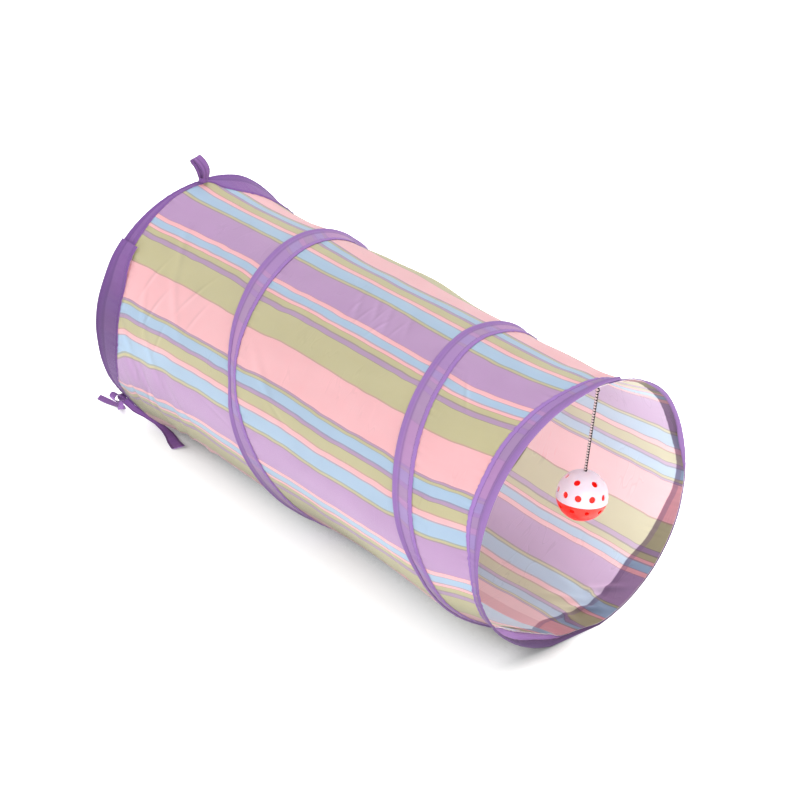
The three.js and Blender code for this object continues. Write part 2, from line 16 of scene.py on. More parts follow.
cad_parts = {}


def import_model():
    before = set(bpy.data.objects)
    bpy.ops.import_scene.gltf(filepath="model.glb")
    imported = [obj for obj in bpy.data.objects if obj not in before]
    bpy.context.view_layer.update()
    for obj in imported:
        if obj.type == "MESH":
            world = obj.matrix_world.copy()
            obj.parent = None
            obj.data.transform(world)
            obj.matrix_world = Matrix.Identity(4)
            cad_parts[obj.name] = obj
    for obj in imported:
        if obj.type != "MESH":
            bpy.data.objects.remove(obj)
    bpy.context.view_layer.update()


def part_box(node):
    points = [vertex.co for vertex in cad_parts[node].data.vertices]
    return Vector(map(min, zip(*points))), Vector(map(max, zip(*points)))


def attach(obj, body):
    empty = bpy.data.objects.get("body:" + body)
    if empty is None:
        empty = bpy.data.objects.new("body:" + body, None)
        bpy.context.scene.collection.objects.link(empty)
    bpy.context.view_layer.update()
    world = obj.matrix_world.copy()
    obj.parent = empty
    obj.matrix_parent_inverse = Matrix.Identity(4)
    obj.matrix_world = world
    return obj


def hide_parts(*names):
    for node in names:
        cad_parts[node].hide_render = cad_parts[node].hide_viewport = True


Material = bpy.types.Material
Piece = bpy.types.Object
Socket = bpy.types.NodeSocket
Span = tuple[float, float]
Triple = tuple[float, float, float]

LOG = logging.getLogger("cat_tunnel")
MM = 0.001
STRIPE_MAP = "stripes"
CLOTH_MAP = "cloth"
STRIP_MAP = "strip"
# The map that holds the folds' slope, for their painted shade.
FOLD_SHADING_MAP = "relief"
TUBE_RADIUS = 123.0
BLACK = (0.0, 0.0, 0.0)
# Where the cord's knot lies in the tunnel's own measures.
KNOT_SETBACK, KNOT_FAR = 7.2, 19.0
# Starts of the puckers along the three sewn strips, so that they differ.
MOUTH_START, SPIRAL_START, REAR_START = 0.7, 1.9, 4.1


def linear(red: float, green: float, blue: float) -> Triple:
    """Turns a colour in screen values from 0 to 255 into a linear one."""
    parts = [channel / 255 for channel in (red, green, blue)]
    return tuple(c / 12.92 if c <= 0.04045 else ((c + 0.055) / 1.055) ** 2.4 for c in parts)


class SmoothTable:
    """A short table of named columns, read as smooth curves that never overshoot their rows."""

    def __init__(self, columns: Sequence[str], rows: Sequence[Sequence[float]]) -> None:
        """Keeps the rows in the order of their first column.

        Args:
            columns: names of the columns, the first being the one that is looked up.
            rows: the table's rows.
        """
        self.columns = list(columns)
        self.values = np.array(rows, float)

    def at(self, column: str, places: Any) -> np.ndarray:
        """Reads one column at some places.

        Args:
            column: name of the column.
            places: values of the first column, in any shape.

        Returns:
            The column's values there, in the same shape.
        """
        key = self.values[:, 0]
        value = self.values[:, self.columns.index(column)]
        secant = np.diff(value) / np.diff(key)
        before, after = secant[:-1], secant[1:]
        total = np.where(before * after > 0, before + after, 1.0)
        slope = np.zeros_like(key)
        slope[1:-1] = np.where(before * after > 0, 2 * before * after / total, 0.0)
        places = np.clip(np.asarray(places, float), key[0], key[-1])
        i = np.clip(np.searchsorted(key, places) - 1, 0, len(key) - 2)
        span = key[i + 1] - key[i]
        u = (places - key[i]) / span
        start = (1 + 2 * u) * (1 - u) ** 2 * value[i] + u * (1 - u) ** 2 * span * slope[i]
        end = u * u * (3 - 2 * u) * value[i + 1] + u * u * (u - 1) * span * slope[i + 1]
        return start + end


# Sizes below are in millimetres. A place on the tube is a setback from the mouth and an angle in degrees:
# -90 below, 0 on the near side, 90 on top and 180 on the far side.
MIDDLE_LINE = SmoothTable(
    ("setback", "far"),
    ((-16, 23.9), (0, 18.7), (30, 9.6), (60, 4), (130, 0), (230, 1.6), (330, 2.9), (430, 1.4), (515, 0)),
)
REAR_RIM = SmoothTable(
    ("angle", "setback"),
    (
        (-90, 515), (-42, 515), (-30, 513.5), (-16, 512), (0, 514), (18, 515.5), (42, 515), (90, 515),
        (270, 515),
    ),
)
SPIRAL = SmoothTable(
    ("turn", "front", "rear"),
    (
        (-90, -14, 8), (-75, 2, 17), (-60, 18, 31), (-40, 33, 46), (-20, 47, 62), (0, 64, 84),
        (20, 78, 100), (40, 92, 114), (60, 104.5, 126), (90, 121, 141), (105, 124, 144), (150, 136, 158),
        (180, 147, 169), (225, 168, 190), (270, 200, 223), (310, 240, 265), (340, 268, 293), (360, 291, 309),
        (372, 305, 316), (384, 315, 328), (400, 323, 342), (420, 332, 355), (450, 344, 368), (475, 347, 372),
        (510, 356, 380), (540, 372, 396), (585, 408, 432), (612, 442, 466), (636, 480, 504), (660, 515, 539),
    ),
)
MOUTH_EDGE = SmoothTable(
    ("angle", "rear"),
    (
        (-264, 16), (-250, 14), (-238, 15), (-231, 16), (-220, 12.5), (-208, 10.5), (-202, 9.1),
        (-196, 7), (-190, 4.2), (-184, 2.2), (-178, 1.7), (-172, 2), (-166, 4), (-154, 6), (-148, 7),
        (-142, 9.9), (-136, 11.8), (-124, 10.6), (-114, 10.4), (-108, 13.4), (-103, 17), (-97, 20.5),
        (-90, 24), (-84, 21), (-75, 13), (-60, 9), (-45, 6.5), (-30, 6.2), (-16, 7.3), (-6, 9.4),
        (2, 12.6), (10, 17), (20, 20.5), (35, 22), (48, 23.3), (65, 22.5), (80, 20), (102, 16),
    ),
)
REAR_EDGE = SmoothTable(
    ("angle", "front"),
    (
        (-324, 497.5), (-312, 500), (-300, 504), (-282, 508.5), (-269, 508), (-265, 492), (-258, 483),
        (-248, 479), (-242, 475), (-236, 470), (-222, 472), (-180, 490), (-120, 492), (-90, 496),
        (-60, 503), (-44, 505), (-30, 499), (-20, 489), (0, 481), (20, 484), (42, 492),
    ),
)
DRAW_IN = SmoothTable(
    ("angle", "front", "middle", "rear"),
    (
        (-90, 0, 0, 0), (-70, 3, 6, 0), (-46, 4, 10, -1.5), (-20, 3, 6, 2), (0, 2, 3, 3), (45, 2, 2, 2.5),
        (90, 2.5, 2, 5), (123, 3.5, 2, 8), (150, 3.5, 3, 7), (180, 3, 3, 4), (230, 2, 3, 3), (270, 0, 0, 0),
    ),
)
# The mouth strip is rolled round the rim on the near side, and hardly reaches it on the far side.
MOUTH_ROLL = SmoothTable(
    ("angle", "outer", "inner"),
    (
        (-264, 0.4, 0.1), (-250, 0.4, 0.12), (-243, 0.5, 0.3), (-237, 0.7, 0.65), (-230, 0.8, 0.65),
        (-220, 0.8, 1.1), (-208, 0.75, 1.4), (-196, 0.65, 3.2), (-189, 0.6, 3), (-181, 0.6, 0.2),
        (-160, 0.4, 0.1), (-145, 0.25, 0.08), (-104, 0.25, 0.08), (-92, 0.6, 0.3), (-82, 0.9, 0.7),
        (-70, 1, 0.9), (-60, 1, 1), (102, 1, 1),
    ),
)
# Below the mouth the hem stands up from the floor, and the cloth ends short of the rim.
RAISED_HEM = SmoothTable(
    ("angle", "lift", "recess"),
    (
        (-90, 2, 5), (-80, 6, 10), (-66, 9, 12.5), (-52, 8, 11), (-40, 4, 6), (-28, 0.5, 1), (-18, 0, 0.6),
        (250, 0, 0.6), (270, 2, 5),
    ),
)


def wrapped(angle: Any) -> np.ndarray:
    """Gives the same angle between -90 and 270."""
    angle = np.asarray(angle, float)
    return angle - 360 * np.floor((angle + 90) / 360)


def smoothstep(value: Any, low: float, high: float) -> np.ndarray:
    """Rises smoothly from 0 at low to 1 at high."""
    u = np.clip((np.asarray(value, float) - low) / (high - low), 0, 1)
    return u * u * (3 - 2 * u)


def ripple(place: Any, length: float, start: float) -> np.ndarray:
    """Makes an uneven wave between about -1 and 1.

    Args:
        place: distance along the wave.
        length: its usual wave length.
        start: moves the wave along, so that two waves differ.

    Returns:
        The wave's height there.
    """
    x = np.asarray(place, float) / length * 2 * math.pi
    slow = 0.6 + 0.4 * np.sin(0.21 * x + 2.3 * start)
    waves = np.sin(x + start) + 0.7 * np.sin(1.57 * x + 2.1 * start) + 0.5 * np.sin(0.61 * x + 3.7 * start)
    return slow * waves / 2


class Wave(NamedTuple):
    """An uneven wave across the cloth. Its lean turns its lines from the way along it."""

    height: float
    lean: float
    length: float
    start: float

    def at(self, along: Any, aside: Any, share: Any = 1.0) -> np.ndarray:
        """Gives the wave's height at some places.

        Args:
            along: distances along the wave.
            aside: distances to the side of it.
            share: the share of its height that it has there.

        Returns:
            The height.
        """
        return self.height * share * ripple(along + self.lean * aside, self.length, self.start)


@dataclass(frozen=True)
class Crease:
    """A soft fold in the cloth, longer than wide."""

    setback: float
    angle: float
    length: float
    width: float
    heading: float
    depth: float

    def at(self, setback: np.ndarray, angle: np.ndarray, radius: float) -> np.ndarray:
        """Gives how far the cloth goes in at some places.

        Args:
            setback: setbacks of the places.
            angle: their angles.
            radius: the tube's radius.

        Returns:
            The depth there, in millimetres.
        """
        turned = (wrapped(angle) - self.angle + 540) % 360 - 180
        around = np.radians(turned) * radius
        along = setback - self.setback
        c, s = math.cos(math.radians(self.heading)), math.sin(math.radians(self.heading))
        p = (along * c + around * s) / self.length
        q = (around * c - along * s) / self.width
        return self.depth * np.exp(-p * p - q * q)

    def drawn(self, around: Term, along: Term, radius: float) -> Term:
        """Paints the fold in a material: painted shade on one side and a painted highlight on the other.

        Args:
            around: the map's way round, in metres.
            along: its way along, in metres.
            radius: the tube's radius.

        Returns:
            The change of the shade.
        """
        c, s = math.cos(math.radians(self.heading)), math.sin(math.radians(self.heading))
        x = along - self.setback * MM
        y = around - math.radians(self.angle) * radius * MM
        p = (x * c + y * s) * (1 / (self.length * MM))
        q = (y * c - x * s) * (1 / (self.width * MM))
        return q * (0 - p * p - q * q).power() * (2 * self.depth)


def creases(*rows: tuple[float, ...]) -> tuple[Crease, ...]:
    """Makes folds from rows of setback, angle, length, width, heading and depth."""
    return tuple(Crease(*row) for row in rows)


# Sharp creases that are too fine for the mesh, so their shade and highlight are painted in the cloth's
# colour.
PAINTED_CREASE_LINES = creases(
    (470, -33, 15, 2.2, 84, 0.16), (448, -27, 17, 2.4, 96, 0.16), (452, -40, 10, 2.2, 80, 0.12),
    (492, -24, 13, 2.1, 88, 0.13), (404, -34, 14, 2.2, 78, 0.1), (424, 10, 15, 2.0, 106, 0.1),
    (440, 22, 20, 2.0, 110, 0.13), (458, 33, 18, 2.0, 104, 0.12), (400, 36, 20, 2.0, 116, 0.12),
    (384, 28, 16, 2.0, 112, 0.1), (482, 14, 14, 2.0, 100, 0.1), (330, -6, 20, 2.4, 12, 0.07),
    (250, 12, 22, 2.4, 24, 0.07), (226, 68, 11, 1.8, 92, 0.12), (213, 71, 9, 1.7, 84, 0.11),
    (203, 67, 12, 2.0, 98, 0.12), (186, 70, 10, 1.8, 88, 0.1), (242, 71, 9, 2.1, 80, 0.1),
    (80, 60, 14, 2.0, 50, 0.1), (94, -20, 16, 2.2, 70, 0.08),
)
HOLLOWS = creases(
    (452, -10, 16, 27.9, 0, 3.0), (414, -8, 13, 30.1, 0, 2.2), (290, 104, 30, 25.8, 0, 3.0),
    (60, 104, 26, 25.8, 0, 2.0), (484, -58, 38, 26, 0, -8.0), (352, 128, 20, 34, 0, 5.5),
    (260, 128, 44, 34, 0, -5.0), (84, 128, 36, 34, 0, -3.5), (4, 132, 26, 42, 0, -3.8),
    (512, 108, 20, 34, 0, -3.0), (22, 109, 10, 24, 0, 4.0), (0, 109, 9, 24, 0, -2.8),
)
CREASES = creases(
    (462, -14, 20, 3.2, 78, 1.5), (446, -18, 22, 3.0, 70, 1.3), (470, 2, 24, 3.6, 60, 0.9),
    (430, -4, 26, 4.0, 64, 1.0), (392, -20, 30, 4.0, 48, 1.0), (240, 71, 16, 2.6, 58, 0.7),
    (222, 74, 15, 2.4, 55, 0.6), (203, 72, 17, 2.6, 60, 0.6), (182, 75, 14, 2.4, 57, 0.5),
    (420, 30, 30, 4.5, 52, 0.8), (446, 50, 26, 4.0, 56, 0.7), (275, 20, 28, 5.0, 40, 0.8),
    (60, -25, 26, 4.0, 62, 0.9), (95, -34, 24, 4.0, 58, 0.9), (8, 238, 14, 3.6, 34, 3.4),
    (12, 245, 15, 3.6, -38, 3.8), (10, 252, 14, 3.6, 28, 3.6), (16, 260, 16, 4.0, -24, 3.2),
    (30, 250, 24, 4.2, 20, 1.6), (46, 243, 24, 4.4, -16, 1.2), (476, -28, 30, 3.6, 84, 1.4),
    (440, -34, 26, 3.8, 82, 1.3), (404, -30, 24, 4.0, 76, 1.0), (488, 24, 20, 3.6, 80, 1.1),
    (452, 18, 24, 3.8, 70, 1.0),
)


@dataclass(frozen=True)
class TunnelForm:
    """The surface that the spring wire holds the cloth to."""

    origin: Span
    radius: float = TUBE_RADIUS
    axis_height: float = 121.5
    floor_height: float = 1.7
    wire_inset: float = 4.0
    lean_top: float = 5.5
    lean_near: float = 3.0
    reach: float = 5.5
    reach_angle: float = 226.0
    reach_narrow: float = 4.0
    full_span: float = 150.0
    draw_front: float = 60.0
    draw_middle: float = 210.0
    draw_rear: float = 430.0
    pucker: float = 0.42
    pucker_length: float = 8.5
    pucker_reach: float = 9.0
    stitch_inset: float = 4.0
    mouth_wire_inset: float = 2.0
    rear_wire_inset: float = 3.0
    round_wave: Wave = Wave(0.22, 0.35, 47, 1.1)
    long_wave: Wave = Wave(0.18, -0.3, 61, 2.7)
    rumple: Wave = Wave(1.7, 0.8, 25, 1.4)
    rumple_above: Span = (-66.0, -50.0)
    rumple_below: Span = (-44.0, -26.0)
    rumple_behind: Span = (310.0, 390.0)
    rumple_clear: Span = (1.0, 12.0)
    hem_rise: Span = (0.0, 10.0)
    hem_fall: Span = (14.0, 60.0)
    slope_turn: float = 0.7
    slope_step: float = 1.6
    light_ahead: float = 0.6
    steepest: float = 1.2

    def mouth_rim(self, angle: Any) -> np.ndarray:
        """Gives the setback of the mouth's rim at some angles."""
        a = np.radians(np.asarray(angle, float))
        towards = (1 + np.cos(a - math.radians(self.reach_angle))) / 2
        lean = self.lean_top * np.sin(a) + self.lean_near * np.cos(a)
        return lean - self.reach * towards**self.reach_narrow

    def cloth_front(self, angle: Any) -> np.ndarray:
        """Gives the setback of the cloth's front edge, under the mouth strip."""
        return self.mouth_rim(angle) + RAISED_HEM.at("recess", wrapped(angle))

    def rear_rim(self, angle: Any) -> np.ndarray:
        """Gives the setback of the rear rim at some angles."""
        return REAR_RIM.at("setback", wrapped(angle))

    def mouth_edge(self, angle: Any) -> np.ndarray:
        """Gives the setback of the mouth strip's rear edge."""
        angle = wrapped(angle)
        return MOUTH_EDGE.at("rear", np.where(angle > MOUTH_EDGE.values[-1, 0], angle - 360, angle))

    def rear_edge(self, angle: Any) -> np.ndarray:
        """Gives the setback of the rear strip's front edge."""
        angle = wrapped(angle)
        return REAR_EDGE.at("front", np.where(angle > REAR_EDGE.values[-1, 0], angle - 360, angle))

    def crossings(self, angle: np.ndarray) -> list[np.ndarray]:
        """Finds where the wire crosses lines along the tube.

        Args:
            angle: the lines' angles.

        Returns:
            Setbacks from the mouth to the rear, one array for each crossing.
        """
        rear = self.rear_rim(angle) - self.rear_wire_inset
        found = [self.mouth_rim(angle) + self.mouth_wire_inset, rear]
        for turns in range(3):
            turn = wrapped(angle) + 360 * turns
            wire = SPIRAL.at("rear", turn) - self.wire_inset
            found.append(np.where(turn <= SPIRAL.values[-1, 0], wire, rear))
        return list(np.sort(np.stack(found), axis=0))

    def draw_in(self, angle: np.ndarray, middle: np.ndarray) -> np.ndarray:
        """Gives how far the cloth draws in halfway between two runs of wire."""
        front, centre, rear = (DRAW_IN.at(c, wrapped(angle)) for c in ("front", "middle", "rear"))
        first = smoothstep(middle, self.draw_front, self.draw_middle)
        second = smoothstep(middle, self.draw_middle, self.draw_rear)
        near = front + (centre - front) * first
        far = centre + (rear - centre) * second
        return np.where(middle < self.draw_middle, near, far)

    def seams(self, angle: np.ndarray) -> list[tuple[np.ndarray, float]]:
        """Lists the setbacks of the sewn lines at some angles, each with the start of its puckers."""
        found = [
            (self.mouth_edge(angle) - self.stitch_inset, MOUTH_START),
            (self.rear_edge(angle) + self.stitch_inset, REAR_START),
        ]
        for turns in range(2):
            turn = wrapped(angle) + 360 * turns
            found.append((SPIRAL.at("front", turn) + self.stitch_inset, SPIRAL_START + turns))
        return found

    def folds(self, setback: np.ndarray, angle: np.ndarray) -> np.ndarray:
        """Gives the height of puckers and creases over the smooth skin."""
        turned = wrapped(angle)
        arc = np.radians(turned) * self.radius
        height = self.round_wave.at(arc, setback) + self.long_wave.at(setback, arc)
        for line, start in self.seams(angle):
            away = (setback - line) / self.pucker_reach
            height = height + self.pucker * ripple(arc, self.pucker_length, start) * np.exp(-away * away)
        for crease in CREASES:
            height = height - crease.at(setback, angle, self.radius)
        low = smoothstep(turned, *self.rumple_above) * (1 - smoothstep(turned, *self.rumple_below))
        clear = smoothstep(self.covered(setback, angle), *self.rumple_clear)
        height = height + self.rumple.at(setback, arc, low * smoothstep(setback, *self.rumple_behind) * clear)
        back = setback - self.mouth_rim(angle)
        raised = smoothstep(back, *self.hem_rise) * (1 - smoothstep(back, *self.hem_fall))
        return height - RAISED_HEM.at("lift", turned) * raised

    def slope(self, setback: np.ndarray, angle: np.ndarray) -> np.ndarray:
        """Gives how far the folds face away from the light above and before the tube, for their painted
        shade.
        """
        turn, step = self.slope_turn, self.slope_step
        arc = np.radians(2 * turn) * self.radius
        around = (self.folds(setback, angle + turn) - self.folds(setback, angle - turn)) / arc
        along = (self.folds(setback + step, angle) - self.folds(setback - step, angle)) / (2 * step)
        return np.clip(self.light_ahead * along - around, -self.steepest, self.steepest)

    def covered(self, setback: np.ndarray, angle: np.ndarray) -> np.ndarray:
        """Gives the distance to the nearest strip outside, less than nothing under a strip."""
        away = [setback - self.mouth_edge(angle), self.rear_edge(angle) - setback]
        for turns in range(2):
            turn = wrapped(angle) + 360 * turns
            front, rear = SPIRAL.at("front", turn), SPIRAL.at("rear", turn)
            away.append(np.abs(setback - (front + rear) / 2) - (rear - front) / 2)
        return np.min(np.stack(away), axis=0)

    def skin_radius(self, setback: np.ndarray, angle: np.ndarray) -> np.ndarray:
        """Gives the distance of the outer skin from the tube's middle line."""
        radius = np.full(np.broadcast(setback, angle).shape, self.radius)
        lines = self.crossings(angle)
        for start, end in zip(lines[:-1], lines[1:]):
            span = np.maximum(end - start, 1e-6)
            share = np.minimum(1, span / self.full_span) ** 2
            depth = self.draw_in(angle, (start + end) / 2) * share
            inside = (setback > start) & (setback < end)
            radius = radius - np.where(inside, depth * np.sin(math.pi * (setback - start) / span), 0)
        for hollow in HOLLOWS:
            radius = radius - hollow.at(setback, angle, self.radius)
        return radius + self.folds(setback, angle)

    def points(self, setback: Any, angle: Any, offset: Any = 0.0, lowest: float = 0.0) -> np.ndarray:
        """Finds points on or off the skin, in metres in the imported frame.

        Args:
            setback: setbacks of the points.
            angle: their angles.
            offset: how far outside the skin they lie.
            lowest: no point lies lower than this.

        Returns:
            An array of points.
        """
        setback, angle = np.broadcast_arrays(np.asarray(setback, float), np.asarray(angle, float))
        radius = self.skin_radius(setback, angle)
        direction = np.radians(angle)
        across = -radius * np.cos(direction) + MIDDLE_LINE.at("far", setback)
        up = np.maximum(radius * np.sin(direction) + self.axis_height, self.floor_height)
        across = across - offset * np.cos(direction)
        up = np.maximum(up + offset * np.sin(direction), lowest)
        return self.place(np.stack([setback, across, up], axis=-1))

    def place(self, point: Any) -> np.ndarray:
        """Turns setback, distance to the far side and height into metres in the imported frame."""
        point = np.asarray(point, float)
        x = self.origin[0] - point[..., 0] * MM
        y = self.origin[1] + point[..., 1] * MM
        return np.stack([x, y, point[..., 2] * MM], axis=-1)


class Dye(Enum):
    """Colours that the cloth's stripes are woven in."""

    LILAC = linear(182, 151, 187)
    MAUVE = linear(178, 152, 180)
    OLIVE = linear(190, 184, 149)
    PINK = linear(237, 182, 186)
    BLUE = linear(169, 190, 211)


# One repeat of the stripes, downwards from the top of a wide lilac one, with widths in degrees.
STRIPES: tuple[tuple[Dye, float], ...] = (
    (Dye.LILAC, 13.4), (Dye.PINK, 2.0), (Dye.BLUE, 3.4), (Dye.PINK, 1.6), (Dye.OLIVE, 2.6),
    (Dye.MAUVE, 2.2), (Dye.OLIVE, 11.6), (Dye.PINK, 15.8), (Dye.MAUVE, 1.0), (Dye.OLIVE, 1.2),
    (Dye.BLUE, 4.2), (Dye.MAUVE, 1.6), (Dye.OLIVE, 4.6), (Dye.PINK, 2.6), (Dye.BLUE, 6.2),
    (Dye.OLIVE, 1.6),
)


# How far the stripes lie above their even places, at these angles, in the cloth before the first turn
# of the strip, between the turns and behind the second turn.
SHIFT_ANGLES = (-60, -40, -20, 0, 30, 60, 80, 100, 120, 140, 160, 180, 210, 240, 265)
SHIFT_COLUMNS = ("setback", *(str(angle) for angle in SHIFT_ANGLES))


def shifts(*rows: tuple[float, ...]) -> SmoothTable:
    """Makes a table of shifts. A row that is too short goes on with zeros."""
    return SmoothTable(SHIFT_COLUMNS, [row + (0,) * (len(SHIFT_COLUMNS) - len(row)) for row in rows])


STRIPE_SHIFTS = (
    shifts(
        (10, -2, -1, 1.4, 1.8, 0.6, 2, 2.2, 2, 1.5, -2.5, 0.2, 0.8, 1.9, 1.6, 1.6),
        (20, -2, -1, 0.7, 0.8, 0.6, 2, 2.3, 2, 1.5, -4, -1.5, -0.3, 0.8, 0.9, 1),
        (34, -3, -2.5, -1, -0.2, 0.6, 1.5, 2, 2.4, 2, -4.5, -2.2, -1.4, -0.2, -0.7, -0.8),
        (47, -4, -3.5, -2.6, -1.1, 0.4, 1.2, 2.2, 3.2, 3, -4.7, -3, -2.2, -0.8, -1.1, -1.6),
        (64, -4, -4, -3, -1.7, -0.5, 0.5, 2, 3.4, 3.5, -4.7, -3, -2.5, -1, -1.3, -2),
        (88, -4, -4, -3, -1.7, -0.6, 0.1, 1.6, 2.8, 2.7, -4, -3, -2.5, -1, -0.8, -0.9),
        (118, -4, -4, -3, -1.7, -0.3, 0.2, 1.3, 1.4, 1.2, -3, -2.5, -2, -1.2, -1.1, -1.2),
        (150, -4, -4, -3, -1.7, -0.3, 0.2, 1.2, 1.2, 1, -2, -2, -1.8, -1.7, -1.4, -1.2),
    ),
    shifts(
        (82, 1, 0, 0.7, 1, -0.4, 0.9, 1.2, 1.2, 1.2),
        (100, -1, -0.5, 0.4, -0.7, -0.4, 0.9, 1.2, 1.2, 1.2),
        (118, -4, -3, -0.5, -0.9, 0.2, 0.9, 1.2, 1.2, 1.2),
        (142, -9, -5.7, -2, -1.4, -0.2, 0.7, 0.7, 0.4, 0.3),
        (166, -11, -7.7, -3, -2.2, -0.8, 0.7, 0.8, 0.4, -0.3),
        (190, -12.5, -10.2, -4.1, -3, -0.8, 0.7, 1.5, 0.1, -1.2),
        (214, -11.5, -7, -3.6, -2.4, -0.3, 1, 2.2, -0.9, -3.5),
        (238, -9.5, -6.3, -3.2, -1.7, 0.2, 0.8, 2.2, -1.8, -4.5),
        (262, -7, -5.3, -2.9, -1.5, 0.6, 1.2, 1.8, -0.2, -3),
        (286, -5, -4, -2, -1.7, 0.5, 1.1, 0.9, -0.1, -1.8),
        (304, -5, -4, -2, -1.2, -0.7, 0.6, 0.5, -0.9, -3),
        (328, -5, -4, -2, -1.2, -0.8, 0.6, 0.4, -1.2, -4),
        (345, -5, -4, -2, -1.2, -0.8, 0.6, 0.4, -0.6, -2.5),
    ),
    shifts(
        (310, -1, -1, -1.9, 0, 0, 1, 3, 3, 3),
        (328, -1, -1, -2.3, -0.3, 1.2, 1, 3, 3, 3),
        (352, 0, 0.2, -1.6, 0.3, 0.7, 1.8, 3.5, 3.5, 3.5),
        (376, 0, 2.5, -2.1, 0.2, 0.5, 3, 4.6, 3.9, 3.5),
        (400, -1, 0, -3.4, 0.4, 1, 3.2, 5.5, 5, 5),
        (418, -3, -2.2, -2.5, 1, 1.4, 3.4, 6.1, 5.8, 5.5),
        (436, -3, -3, -4.4, 0.6, 1, 3, 6.3, 5.9, 5.5),
        (454, -1, -1, -3.8, 0.9, 1, 3, 6, 6, 6),
        (472, -1, -2, -3.8, 3, 1.3, 2.7, 5.7, 5.9, 5.9),
        (490, -1, -1, -2.2, 4.5, 1.1, 2.2, 5.3, 5.2, 5),
    ),
)


# The width of the fine line between two stripes, in degrees.
STRIPE_LINE = 0.42
# How far the stripes turn towards the rear, all round and low on the near side.
STRIPE_TURN = SmoothTable(
    ("setback", "turn", "low"),
    ((150, 0, 0), (300, 2.6, 0), (400, 4.2, 2), (470, 5.4, 4.8), (490, 5.8, 9)),
)


@dataclass(frozen=True)
class StripeLayout:
    """Where the stripes run on the tube. They turn a little towards the rear."""

    tops: tuple[float, ...] = (2.2, 77.8, 159.4, 241.4)
    lower_repeat: float = 75.6
    upper_repeat: float = 81.0
    seam: float = -83.0
    gathered_from: float = -52.0
    gathered: float = 0.62
    turning: SmoothTable = STRIPE_TURN
    low: Span = (-14.0, 32.0)
    waver: float = 0.2
    long_waver: Wave = Wave(1.0, 0.0, 66, 0.4)
    short_waver: Wave = Wave(1.0, 2.1, 31, 1.7)
    rumple: Wave = Wave(2.4, 0.7, 22, 2.2)
    rumple_behind: Span = (300.0, 400.0)
    rumple_above: Span = (-70.0, -52.0)
    rumple_below: Span = (-46.0, -26.0)
    tuck: Wave = Wave(3.0, 0.0, 11, 0.6)
    tuck_down: float = 2.0
    tuck_before: Span = (10.0, 19.0)
    tuck_above: Span = (232.0, 242.0)
    counted_from: float = 8.0

    @staticmethod
    def shift(setback: np.ndarray, angle: np.ndarray) -> np.ndarray:
        """Gives how far the stripes lie above their even places.

        Args:
            setback: setbacks of the places.
            angle: their angles, from the seam upwards without a jump.

        Returns:
            The angle between the stripe that shows and the one that an even layout would show.
        """
        place = np.interp(angle, SHIFT_ANGLES, np.arange(len(SHIFT_ANGLES)))
        column = np.minimum(place.astype(int), len(SHIFT_ANGLES) - 2)[None]
        share = place - column[0]
        found = []
        for table in STRIPE_SHIFTS:
            values = np.stack([table.at(name, setback) for name in SHIFT_COLUMNS[1:]])
            lower, upper = (np.take_along_axis(values, column + k, 0)[0] for k in (0, 1))
            found.append(lower + (upper - lower) * share)
        total = found[0]
        for turns in range(2):
            turn = angle + 360 * turns
            passed = smoothstep(setback, SPIRAL.at("front", turn), SPIRAL.at("rear", turn))
            total = total + (found[turns + 1] - found[turns]) * passed
        return total

    def repeat(self, setback: np.ndarray, angle: np.ndarray) -> np.ndarray:
        """Gives the place in the run of stripes, one for each repeat, counted downwards.

        Args:
            setback: setbacks of the places.
            angle: their angles, from the seam upwards without a jump.

        Returns:
            The place. Its fraction is the place in one repeat.
        """
        angle = angle - self.shift(setback, angle)
        low = 1 - smoothstep(angle, *self.low)
        below = np.minimum(angle - self.gathered_from, 0)
        woven = angle - below * (1 - self.gathered)
        woven = woven + self.turning.at("turn", setback) + low * self.turning.at("low", setback)
        wavering = self.long_waver.at(setback, angle) + self.short_waver.at(setback, angle)
        woven = woven + self.waver * wavering
        rumpled = smoothstep(setback, *self.rumple_behind) * smoothstep(angle, *self.rumple_above)
        woven = woven + self.rumple.at(setback, angle, rumpled * (1 - smoothstep(angle, *self.rumple_below)))
        tucked = (1 - smoothstep(setback, *self.tuck_before)) * smoothstep(angle, *self.tuck_above)
        woven = woven + tucked * (self.tuck.at(angle, setback) - self.tuck_down)
        count = np.arange(len(self.tops))
        middle = np.interp(woven, self.tops, count)
        below = (woven - self.tops[0]) / self.lower_repeat
        above = len(self.tops) - 1 + (woven - self.tops[-1]) / self.upper_repeat
        middle = np.where(woven < self.tops[0], below, middle)
        return self.counted_from - np.where(woven > self.tops[-1], above, middle)


